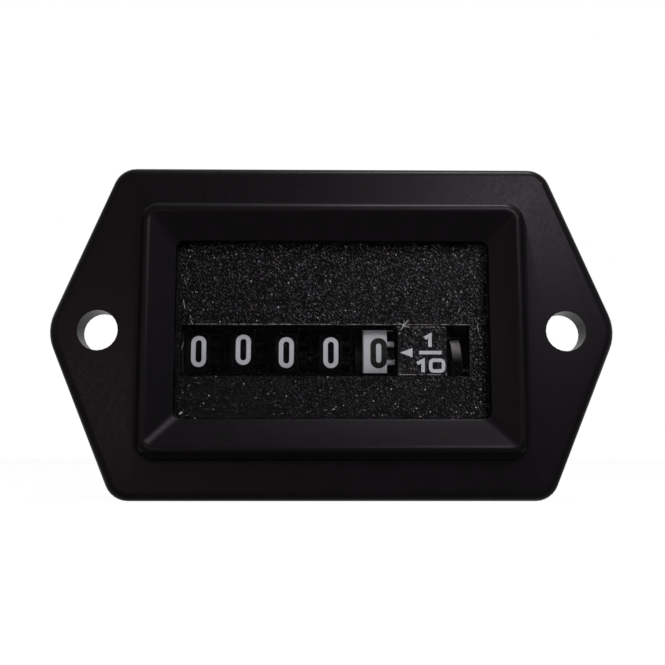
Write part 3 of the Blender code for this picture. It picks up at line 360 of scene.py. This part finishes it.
def indicator_material():
    """Black drum with a pale stripe along it that shows it turn; the stripe's fade on its lower side
    and its brightness towards the top are painted highlight.
    """
    g = Graph("indicator_stripe_and_highlight")
    x, y, z = g.axes()
    turn = g.maths("ARCTAN2", g.maths("SUBTRACT", z, MM * INDICATOR_Z),
                   g.maths("SUBTRACT", MM * INDICATOR_Y, y))
    # Painted highlight: the stripe is brightest towards the top and fades out on its lower side
    below = g.maths("POWER", g.ranged(turn, *(radians(angle) for angle in STRIPE_HIGHLIGHT_FADE)), 2.0)
    above = g.ranged(turn, *(radians(angle) for angle in STRIPE_END))
    inside = g.maths("GREATER_THAN", x, MM * STRIPE_LEFT)
    stripe = g.maths("MULTIPLY", g.maths("MULTIPLY", below, above),
                     g.maths("MULTIPLY", inside, g.ranged(g.noise(0.5, (1, 1, 3)), 0.25, 0.6, 0.6)))
    colour = g.mixed(stripe, (0.0005, 0.0005, 0.0006), (0.80, 0.76, 0.78))
    return g.done(colour, g.ranged(g.noise(0.3), 0.3, 0.7, 0.5, 0.65), g.bumped(g.noise(0.1), 0.004),
                  Specular_IOR_Level=0.01)


def lens_material():
    """Clear window, thin enough to let the light straight through, with faint wipe marks."""
    g = Graph("lens_clear")
    wipe = g.noise(3.0, (6, 1, 1))
    colour = g.mixed(g.ranged(wipe, 0.4, 0.7), (0.01, 0.011, 0.012), (0.03, 0.032, 0.035))
    return g.done(colour, g.ranged(wipe, 0.4, 0.7, 0.04, 0.12), Alpha=0.01, IOR=1.49)


def winding_material():
    """Fine enamelled wire, wound in rings along Z."""
    g = Graph("copper_winding")
    wave = g.add("ShaderNodeTexWave", wave_type="BANDS", bands_direction="Z")
    # Bands repeat every 2 pi / 20 of the texture's own units
    wave.inputs["Scale"].default_value = 2 * pi / 20 / (MM * WIRE_PITCH)
    wave.inputs["Distortion"].default_value = 0.6
    g.link(g.place, wave.inputs["Vector"])
    colour = g.mixed(wave.outputs["Fac"], (0.16, 0.035, 0.012), (0.55, 0.17, 0.06))
    return g.done(colour, g.ranged(g.noise(0.4), 0.3, 0.7, 0.25, 0.4),
                  g.bumped(wave.outputs["Fac"], 0.03), Metallic=0.8)


def board_material():
    """Solder mask over a woven board, with copper runs showing through as paler lines."""
    g = Graph("board_mask")
    weave = g.noise(0.3, (4, 4, 1))
    runs = g.add("ShaderNodeTexBrick")
    runs.inputs["Scale"].default_value = 1 / (MM * 7)
    runs.inputs["Mortar Size"].default_value = 0.02
    turn = g.add("ShaderNodeMapping")
    turn.inputs["Rotation"].default_value = (pi / 2, 0, 0)
    g.link(g.place, turn.inputs["Vector"])
    g.link(turn.outputs["Vector"], runs.inputs["Vector"])
    mask = g.mixed(g.ranged(weave, 0.3, 0.7), (0.012, 0.085, 0.035), (0.022, 0.13, 0.055))
    colour = g.mixed(runs.outputs["Fac"], mask, (0.05, 0.22, 0.09))
    return g.done(colour, g.ranged(weave, 0.3, 0.7, 0.28, 0.42), g.bumped(weave, 0.01))


def banded(name, body, bands, roughness):
    """A round component's coat with colour bands across X, given as (place, half width, colour)."""
    g = Graph(name)
    x = g.axes()[0]
    colour = g.mixed(g.ranged(g.noise(0.6), 0.3, 0.7), body, tuple(0.8 * c for c in body))
    for place, half, paint in bands:
        colour = g.mixed(g.near(x, place, half), colour, paint)
    return g.done(colour, g.ranged(g.noise(0.3), 0.3, 0.7, roughness - 0.05, roughness + 0.08),
                  g.bumped(g.noise(0.2), 0.004))


case_black = case_material()
# Transfer pinions: plain grey plastic, lightened so that their teeth, seen between the wheels, stand in
# for glints: partly a painted highlight
pinion_grey_and_glint = moulded("pinion_grey_and_glint", (0.26, 0.25, 0.25), (0.38, 0.37, 0.37), edge=0.03,
                      gloss=0.3)
wheel_black = moulded("wheel_black", (0.0005, 0.0004, 0.0006), (0.0010, 0.0008, 0.0011),
                      roughness=(0.42, 0.58), edge=0.05, gloss=0.012)
frame_dark = moulded("frame_plastic", (0.006, 0.006, 0.0065), (0.011, 0.011, 0.012), edge=0.05,
                     gloss=0.1)
natural = moulded("natural_plastic", (0.56, 0.54, 0.46), (0.7, 0.68, 0.6),
                  roughness=(0.34, 0.48), edge=0.04)
chip_black = moulded("chip_black", (0.012, 0.012, 0.012), (0.022, 0.022, 0.022),
                     roughness=(0.5, 0.62), grain=0.008, edge=0.05)
steel = metal("drawn_steel", (0.42, 0.42, 0.43), (0.62, 0.62, 0.63))
blued_steel = metal("blued_steel", (0.010, 0.010, 0.013), (0.022, 0.021, 0.026), (0.3, 0.45))
lamination = metal("blanked_steel", (0.32, 0.32, 0.33), (0.48, 0.48, 0.49), (0.3, 0.45), (1, 1, 10))
brass = metal("plated_brass", (0.62, 0.54, 0.32), (0.8, 0.74, 0.52), (0.2, 0.34), (1, 14, 1))
magnet = metal("sintered_magnet", (0.06, 0.06, 0.063), (0.13, 0.13, 0.135), (0.35, 0.55),
               (1, 1, 1), 0.006, 0.6)
crystal_can = metal("crystal_can", (0.5, 0.5, 0.5), (0.68, 0.68, 0.67), (0.16, 0.3), (16, 1, 1))
copper = metal("copper_lead", (0.34, 0.1, 0.035), (0.55, 0.18, 0.07), (0.25, 0.4), (10, 1, 1),
               metallic=0.8)
print_light = moulded("print_light", (0.205, 0.213, 0.230), (0.240, 0.248, 0.265),
                      roughness=(0.5, 0.62), grain=0.003, gloss=0.1)
print_dark = moulded("print_dark", (0.002, 0.002, 0.002), (0.004, 0.004, 0.004),
                     roughness=(0.45, 0.6), grain=0.003, gloss=0.05)
# Pale dust and scratches; it also colours one painted highlight at the lens corner
lint_and_highlight = moulded("lint_and_highlight", (0.16, 0.16, 0.17), (0.34, 0.34, 0.35), roughness=(0.7, 0.85), gloss=0.1)

FINISHES = {
    "case": case_black,
    "rear_cover": case_black,
    "lens": lens_material(),
    "dial_plate": grain_and_painted_light("dial_grain_and_painted_light", DIAL_FRONT, [SLOT_TOP + 0.06]),
    "tenth_plate": grain_and_painted_light("insert_grain_and_painted_light", INSERT_FRONT, [INSERT_TOP - 0.04, INSERT_LOW + 0.04]),
    "counter_frame": frame_dark,
    "bridge_plate": frame_dark,
    "wheel_shaft": blued_steel,
    "pinion_shaft": steel,
    "drive_arbor": steel,
    "stator": lamination,
    "coil_core": lamination,
    "coil_bobbin": natural,
    "coil_winding": winding_material(),
    "coil_lead_start": copper,
    "coil_lead_end": copper,
    "circuit_board": board_material(),
    "driver_chip": chip_black,
    "quartz_crystal": crystal_can,
    "capacitor": banded("capacitor_sleeve", (0.02, 0.02, 0.06), [(4.0, 0.35, (0.45, 0.46, 0.5))],
                        0.3),
    "resistor": banded("resistor_coat", (0.62, 0.47, 0.28), [
        (0.2, 0.2, (0.25, 0.08, 0.02)), (1.1, 0.2, (0.02, 0.02, 0.02)),
        (2.0, 0.2, (0.5, 0.08, 0.02)), (3.2, 0.2, (0.55, 0.38, 0.08))], 0.42),
    "diode": banded("diode_coat", (0.018, 0.018, 0.018), [(3.0, 0.3, (0.6, 0.6, 0.6))], 0.36),
    "terminal_left": brass,
    "terminal_right": brass,
    "tenths_wheel": tenths_material(),
    "rotor_magnet": magnet,
    "running_indicator": indicator_material(),
}
FINISHES.update({f"transfer_pinion_{n}": pinion_grey_and_glint for n in (1, 2, 3, 4)})
FINISHES.update({name: wheel_black for name in WHEELS if name != "tenths_wheel"})


def smoothing():
    """A modifier group that shades smooth, except over edges sharper than 30 degrees."""
    group = bpy.data.node_groups.new("smooth_by_angle", "GeometryNodeTree")
    group.interface.new_socket("Geometry", in_out="INPUT", socket_type="NodeSocketGeometry")
    group.interface.new_socket("Geometry", in_out="OUTPUT", socket_type="NodeSocketGeometry")
    add = group.nodes.new
    start, end = add("NodeGroupInput"), add("NodeGroupOutput")
    faces, edges = add("GeometryNodeSetShadeSmooth"), add("GeometryNodeSetShadeSmooth")
    faces.domain = "FACE"
    edges.domain = "EDGE"
    edges.inputs["Shade Smooth"].default_value = False
    angle = add("GeometryNodeInputMeshEdgeAngle")
    sharp = add("FunctionNodeCompare")
    sharp.data_type = "FLOAT"
    sharp.operation = "GREATER_THAN"
    sharp.inputs[1].default_value = radians(30)
    link = group.links.new
    link(start.outputs[0], faces.inputs["Geometry"])
    link(faces.outputs[0], edges.inputs["Geometry"])
    link(angle.outputs["Unsigned Angle"], sharp.inputs[0])
    link(sharp.outputs["Result"], edges.inputs["Selection"])
    link(edges.outputs[0], end.inputs[0])
    return group


SMOOTH = smoothing()


def smooth(obj):
    """Welds an object's facets and shades it smooth, with its large faces leading."""
    weld = obj.modifiers.new("weld", "WELD")
    weld.merge_threshold = MM * 0.001
    obj.modifiers.new("smooth", "NODES").node_group = SMOOTH
    weighted = obj.modifiers.new("weighted", "WEIGHTED_NORMAL")
    weighted.keep_sharp = True
    weighted.weight = 100


for name, node in nodes.items():
    node.material_slots[0].material = FINISHES.get(name, natural)
    smooth(node)


def piece(name, bm, finish, body):
    """A new piece from a mesh in millimetres, which rides on a body."""
    bmesh.ops.scale(bm, vec=(MM, MM, MM), verts=bm.verts)
    bmesh.ops.recalc_face_normals(bm, faces=bm.faces)
    mesh = bpy.data.meshes.new(name)
    bm.to_mesh(mesh)
    bm.free()
    obj = bpy.data.objects.new(name, mesh)
    bpy.context.scene.collection.objects.link(obj)
    mesh.materials.append(finish)
    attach(obj, body)


def arc(cx, cy, rx, ry, start, end):
    """Points on an ellipse, from one angle to another in degrees."""
    count = max(4, int(abs(end - start) / 12))
    return [(cx + rx * cos(radians(start + (end - start) * n / count)),
             cy + ry * sin(radians(start + (end - start) * n / count)))
            for n in range(count + 1)]


def digit_paths(a, b):
    """The centre lines of the digits 0 to 9, each as (points, closed), for this half size."""
    half = b / 2
    zero = arc(0, b - a, a, a, 0, 180) + arc(0, a - b, a, a, 180, 360)
    six = (arc(0, b - a, a, a, 20, 180) + arc(0, a - b, a, a, 180, 360)
           + arc(0, a * 0.35, a, a, 0, 165))
    return [
        [(zero, True)],
        [([(-0.42, b - 0.5), (0.1, b), (0.1, -b)], False)],
        [(arc(0, b - a, a, a, 165, -25) + [(-a, -b), (a, -b)], False)],
        [(arc(0, half, a, half, 150, -90) + arc(0, -half, a, half, 90, -150)[1:], False)],
        [([(a * 0.45, -b), (a * 0.45, b), (-a, -b * 0.35), (a * 1.2, -b * 0.35)], False)],
        [([(a, b), (-a * 0.85, b), (-a * 0.85, 0.15)]
          + arc(0, -b + a * 1.25, a, a * 1.25, 120, -150), False)],
        [(six, False)],
        [([(-a, b), (a, b), (-a * 0.3, -b)], False)],
        [(arc(0, half, a * 0.92, half, 0, 360)[:-1], True),
         (arc(0, -half, a, half, 0, 360)[:-1], True)],
        [([(-x, -y) for x, y in six], False)],
    ]


def resampled(points, closed):
    """The same path in steps of about PRINT_STEP, with no repeated points."""
    ends = points + points[:1] if closed else points
    out = [ends[0]]
    for (x0, y0), (x1, y1) in zip(ends, ends[1:]):
        length = hypot(x1 - x0, y1 - y0)
        if length < SAME_PLACE:
            continue
        count = max(1, round(length / PRINT_STEP))
        out += [(x0 + (x1 - x0) * n / count, y0 + (y1 - y0) * n / count)
                for n in range(1, count + 1)]
    return out[:-1] if closed else out


def ribbon(bm, points, closed, width, lay):
    """A flat raised stroke along a path. lay turns (across, up, height) into a place."""
    points = resampled(points, closed)
    count = len(points)
    rings = []
    for n, (x, y) in enumerate(points):
        before = points[n - 1] if closed or n else points[0]
        after = points[(n + 1) % count] if closed or n < count - 1 else points[-1]
        ways = []
        for (px, py), (qx, qy) in ((before, (x, y)), ((x, y), after)):
            length = hypot(qx - px, qy - py)
            if length > 1e-6:
                ways.append(((qx - px) / length, (qy - py) / length))
        tx, ty = sum(w[0] for w in ways), sum(w[1] for w in ways)
        size = hypot(tx, ty)
        nx, ny = -ty / size, tx / size
        # At a sharp bend the corner reaches no further than the stroke's whole width
        spread = width / 2 / max(abs(nx * -ways[0][1] + ny * ways[0][0]), 0.5)
        rings.append([bm.verts.new(lay(x + side * spread * nx, y + side * spread * ny, height))
                      for side, height in ((1, PRINT_HEIGHT), (-1, PRINT_HEIGHT),
                                           (-1, -PRINT_DEPTH), (1, -PRINT_DEPTH))])
    pairs = list(zip(rings, rings[1:] + rings[:1])) if closed else list(zip(rings, rings[1:]))
    for first, second in pairs:
        for k in range(4):
            m = (k + 1) % 4
            bm.faces.new((first[k], first[m], second[m], second[k]))
    if not closed:
        bm.faces.new(rings[0])
        bm.faces.new(rings[-1])


def on_wheel(x, shift, digit):
    """Lays a stroke on a wheel's rim. The next digit stands below, and shows as the wheel turns."""
    base = -2 * pi * digit / 10

    def lay(across, up, height):
        angle = base + up / WHEEL_RADIUS + shift / WHEEL_RADIUS
        reach = WHEEL_RADIUS + height
        return x + across, WHEEL_Y - reach * cos(angle), WHEEL_Z + reach * sin(angle)

    return lay


for name, (x, across, shift, half_width, half_height, stroke) in WHEELS.items():
    bm = bmesh.new()
    for digit, paths in enumerate(digit_paths(half_width, half_height)):
        for points, closed in paths:
            ribbon(bm, points, closed, stroke, on_wheel(x + across, shift, digit))
    white = name == "tenths_wheel"
    piece(f"{name}_digits", bm, print_dark if white else print_light, name)


# The stroke of the small plate's marks, and the corner radius of its nought
MARK_STROKE = 0.38
NOUGHT_CORNER = 0.34


def on_insert(across, up, height):
    """Lays a stroke on the small plate's front."""
    return across, INSERT_FRONT - height, up


def insert_marks():
    """The arrow and the fraction 1/10 printed on the small plate beside the last wheel."""
    bm = bmesh.new()
    corners = [(7.36, -2.31), (8.72, -1.81), (8.72, -2.81)]
    top = [bm.verts.new(on_insert(x, z, PRINT_HEIGHT)) for x, z in corners]
    low = [bm.verts.new(on_insert(x, z, -PRINT_DEPTH)) for x, z in corners]
    bm.faces.new(top)
    bm.faces.new(low)
    for k in range(3):
        m = (k + 1) % 3
        bm.faces.new((top[k], top[m], low[m], low[k]))
    bar = [(9.46, -2.3), (11.88, -2.3)]
    upper_one = [(10.08, -0.72), (10.64, -0.42), (10.64, -1.68)]
    lower_one = [(9.22, -3.5), (9.86, -3.18), (9.86, -4.45)]
    for strokes in (bar, upper_one, lower_one):
        ribbon(bm, strokes, False, MARK_STROKE, on_insert)
    nought = []
    for quarter, (x, z) in enumerate(((11.74, -3.47), (11.03, -3.47), (11.03, -3.97), (11.74, -3.97))):
        nought += arc(x, z, NOUGHT_CORNER, NOUGHT_CORNER, 90 * quarter, 90 * quarter + 90)
    ribbon(bm, nought, True, MARK_STROKE, on_insert)
    piece("insert_marks", bm, print_light, "root")


insert_marks()


def fleck(bm, place, size, rng):
    """A tiny uneven chip of dust."""
    turn = Matrix.Rotation(rng.uniform(0, pi), 4, "Y") @ Matrix.Rotation(rng.uniform(-0.5, 0.5), 4, "X")
    spread = Matrix.Diagonal((size, 0.25 * size, size * rng.uniform(0.4, 1.0), 1))
    bmesh.ops.create_icosphere(bm, subdivisions=1, radius=0.5,
                               matrix=Matrix.Translation(place) @ turn @ spread)


def sliver(bm, x, z, length, width, lean):
    """A thin scratch, a hair or a painted highlight on the dial, turned by this many degrees."""
    turn = Matrix.Rotation(radians(lean), 4, "Y")
    spread = Matrix.Diagonal((length, 0.04, width, 1))
    bmesh.ops.create_icosphere(bm, subdivisions=2, radius=0.5,
                               matrix=Matrix.Translation((x, DIAL_FRONT - 0.005, z)) @ turn @ spread)


# Scratches and chips on the dial: place across and up, length, width and lean in degrees. The wide mark
# at the window's lower left corner, at -16.3 and -8.9, is a painted highlight of the lens corner
SCRATCHES_AND_CORNER_HIGHLIGHT = [
    (7.85, 0.7, 1.6, 0.08, -52), (7.6, 0.75, 1.1, 0.07, 28), (7.8, 0.85, 0.9, 0.05, -80),
    (8.0, 0.6, 0.8, 0.06, 8), (-16.3, -8.9, 0.45, 0.18, -32), (13.58, 8.45, 0.13, 0.12, 0),
    (-15.3, 0.95, 0.7, 0.04, 60), (13.9, 2.4, 0.8, 0.04, -62), (-16.2, 3.0, 1.1, 0.045, 78),
    (-16.25, -1.6, 0.9, 0.045, -74), (-16.1, 5.4, 0.8, 0.04, 65), (15.9, 0.4, 1.0, 0.04, 80),
]


# Dust on the dial: how many flecks, their sizes, the share that lies by an edge, the bands along
# the window's side and lower edges, how far the rest reaches, and the slot, which stays clear
FLECKS = 240
FLECK_SIZES = (0.05, 0.07, 0.07, 0.1, 0.14)
BY_EDGE = 0.45
SIDE_BAND = (15.2, 16.5)
LOWER_BAND = (-9.3, -8.0)
DUST_HALF_WIDTH = 16.4
DUST_HALF_HEIGHT = 9.2
CLEAR_ACROSS = (-16.5, 15.0)
CLEAR_UP = (-5.0, 0.8)


def dust():
    """Scratches and specks on the dial, thicker along the window's lower and side edges, and a painted
    highlight at the window's lower left corner.
    """
    rng = random.Random(7)
    bm = bmesh.new()
    for scratch in SCRATCHES_AND_CORNER_HIGHLIGHT:
        sliver(bm, *scratch)
    placed = 0
    while placed < FLECKS:
        edge = rng.random() < BY_EDGE
        if edge and rng.random() < 0.5:
            x = rng.choice((-1, 1)) * rng.uniform(*SIDE_BAND)
        else:
            x = rng.uniform(-DUST_HALF_WIDTH, DUST_HALF_WIDTH)
        if edge and abs(x) < SIDE_BAND[0]:
            z = rng.uniform(*LOWER_BAND)
        else:
            z = rng.uniform(-DUST_HALF_HEIGHT, DUST_HALF_HEIGHT)
        if CLEAR_ACROSS[0] < x < CLEAR_ACROSS[1] and CLEAR_UP[0] < z < CLEAR_UP[1]:
            continue
        fleck(bm, Vector((x, DIAL_FRONT - 0.01, z)), rng.choice(FLECK_SIZES), rng)
        placed += 1
    piece("dial_dust_and_corner_highlight", bm, lint_and_highlight, "root")


dust()


def tube(bm, points, radius, steps=8):
    """A round wire through the points."""
    rings = []
    for n, point in enumerate(points):
        before = Vector(points[max(n - 1, 0)])
        after = Vector(points[min(n + 1, len(points) - 1)])
        turn = (after - before).to_track_quat("Z", "Y")
        rings.append([bm.verts.new(Vector(point) + turn @ Vector(
            (radius * cos(2 * pi * k / steps), radius * sin(2 * pi * k / steps), 0)))
            for k in range(steps)])
    for first, second in zip(rings, rings[1:]):
        for k in range(steps):
            m = (k + 1) % steps
            bm.faces.new((first[k], first[m], second[m], second[k]))
    bm.faces.new(rings[0])
    bm.faces.new(rings[-1])


def component_leads():
    """Wires from each round component down to the board, and the chip's legs."""
    bm = bmesh.new()
    for node_name, radius in (("capacitor", 0.25), ("resistor", 0.25), ("diode", 0.3)):
        low, high = (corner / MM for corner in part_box(node_name))
        y, z = (low.y + high.y) / 2, (low.z + high.z) / 2
        for side, x in ((-1, low.x), (1, high.x)):
            tube(bm, [(x - side * 0.3, y, z), (x + side * 0.35, y, z), (x + side * 0.6, y + 0.1, z),
                      (x + side * 0.7, y + 0.35, z), (x + side * 0.7, BOARD_FRONT + 0.1, z)],
                 radius)
    low, high = (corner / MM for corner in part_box("driver_chip"))
    for n in range(4):
        x = low.x + 0.6 + n * (high.x - low.x - 1.2) / 3
        for side, z in ((-1, low.z), (1, high.z)):
            tube(bm, [(x, BOARD_FRONT - 0.85, z - side * 0.2), (x, BOARD_FRONT - 0.85, z + side * 0.3),
                      (x, BOARD_FRONT - 0.65, z + side * 0.5), (x, BOARD_FRONT - 0.2, z + side * 0.6),
                      (x, BOARD_FRONT + 0.05, z + side * 0.75)], 0.16, 6)
    piece("component_leads", bm, steel, "root")


component_leads()


# Lamps: azimuth to the right and elevation in degrees, width and height in metres, power, colour
LAMP_DISTANCE = 0.4
LAMPS = {
    "softbox": (20, 31, 0.11, 0.20, 1.00, (1.0, 0.99, 0.98)),
    "low_key": (17, 18, 0.10, 0.07, 0.37, (1.0, 0.98, 1.0)),
    "top_right": (40, 74, 0.14, 0.14, 1.80, (1.0, 1.0, 1.0)),
    "fill_right": (55, 12, 0.04, 0.28, 0.09, (0.84, 0.89, 1.0)),
    "fill_left": (-50, 4, 0.04, 0.22, 0.12, (1.0, 0.86, 0.82)),
    "low_left": (-17, 2, 0.06, 0.06, 0.14, (1.0, 0.80, 0.76)),
}


def light(name, azimuth, elevation, width, height, energy, colour):
    """A round-ended lamp on a sphere around the object, facing it."""
    lamp = bpy.data.lights.new(name, "AREA")
    lamp.shape = "ELLIPSE"
    lamp.size = width
    lamp.size_y = height
    lamp.energy = energy
    lamp.color = colour
    obj = bpy.data.objects.new(name, lamp)
    level = LAMP_DISTANCE * cos(radians(elevation))
    obj.location = (level * sin(radians(azimuth)), -level * cos(radians(azimuth)),
                    LAMP_DISTANCE * sin(radians(elevation)))
    obj.rotation_euler = (-obj.location).to_track_quat("-Z", "Y").to_euler()
    bpy.context.scene.collection.objects.link(obj)


def pale_where_seen(tree, pale, plain):
    """Plain shading, except white where the camera, a gloss or clear plastic sees it."""
    path = tree.nodes.new("ShaderNodeLightPath")
    total = path.outputs["Is Camera Ray"]
    for name in ("Is Glossy Ray", "Is Transmission Ray"):
        most = tree.nodes.new("ShaderNodeMath")
        most.operation = "MAXIMUM"
        tree.links.new(total, most.inputs[0])
        tree.links.new(path.outputs[name], most.inputs[1])
        total = most.outputs["Value"]
    mix = tree.nodes.new("ShaderNodeMixShader")
    tree.links.new(total, mix.inputs["Fac"])
    tree.links.new(plain, mix.inputs[1])
    tree.links.new(pale, mix.inputs[2])
    return mix.outputs["Shader"]


# The level of the surrounding light, the floor's reach in metres, its gap below the flange in
# millimetres, and how much of its pale tone, as the camera sees it, is its own light
WORLD_LEVEL = 0.15
FLOOR_REACH = 3.0
FLOOR_GAP = 0.03
FLOOR_GLOW = 0.97


def make_world():
    world = bpy.data.worlds.new("studio")
    bpy.context.scene.world = world
    world.use_nodes = True
    tree = world.node_tree
    plain = tree.nodes["Background"]
    plain.inputs["Color"].default_value = (0.9, 0.93, 1.0, 1)
    plain.inputs["Strength"].default_value = WORLD_LEVEL
    pale = tree.nodes.new("ShaderNodeBackground")
    pale.inputs["Color"].default_value = (1, 1, 1, 1)
    seen = pale_where_seen(tree, pale.outputs["Background"], plain.outputs["Background"])
    tree.links.new(seen, tree.nodes["World Output"].inputs["Surface"])


def make_floor():
    """A wide pale floor under the lower edge of the flange."""
    mesh = bpy.data.meshes.new("floor")
    height = MM * (FLANGE_LOW - FLOOR_GAP)
    corners = [(FLOOR_REACH * x, FLOOR_REACH * y, height)
               for x, y in ((-1, -1), (1, -1), (1, 1), (-1, 1))]
    mesh.from_pydata(corners, [], [(0, 1, 2, 3)])
    floor = bpy.data.objects.new("floor", mesh)
    bpy.context.scene.collection.objects.link(floor)
    g = Graph("floor_pale")
    tone = g.mixed(g.ranged(g.noise(40.0), 0.3, 0.7), (0.78, 0.78, 0.78), (0.82, 0.82, 0.82))
    g.done(tone, None, None, Roughness=0.9)
    glow = g.add("ShaderNodeEmission")
    half_glow = g.add("ShaderNodeMixShader")
    half_glow.inputs["Fac"].default_value = FLOOR_GLOW
    g.link(g.shader.outputs["BSDF"], half_glow.inputs[1])
    g.link(glow.outputs["Emission"], half_glow.inputs[2])
    seen = pale_where_seen(g.tree, half_glow.outputs["Shader"], g.shader.outputs["BSDF"])
    g.link(seen, g.tree.nodes["Material Output"].inputs["Surface"])
    mesh.materials.append(g.material)


# The camera: focal length and film width in millimetres, place in metres, and turns in degrees
LENS = 50.2
FILM_WIDTH = 36
CAMERA_PLACE = (-0.0013, -0.1027, -0.0136)
YAW = -0.75
PITCH = 7.66
ROLL = -0.03


def make_camera():
    data = bpy.data.cameras.new("camera")
    data.lens = LENS
    data.sensor_width = FILM_WIDTH
    data.clip_start = 0.01
    camera = bpy.data.objects.new("camera", data)
    turn = (Matrix.Rotation(radians(YAW), 4, "Z") @ Matrix.Rotation(radians(PITCH), 4, "X")
            @ Matrix.Rotation(radians(ROLL), 4, "Y") @ Matrix.Rotation(radians(90), 4, "X"))
    camera.matrix_world = Matrix.Translation(CAMERA_PLACE) @ turn
    bpy.context.scene.collection.objects.link(camera)
    bpy.context.scene.camera = camera


make_world()
make_floor()
make_camera()
for name, values in LAMPS.items():
    light(name, *values)
bpy.context.scene.view_settings.view_transform = "Standard"

bpy.context.view_layer.update()
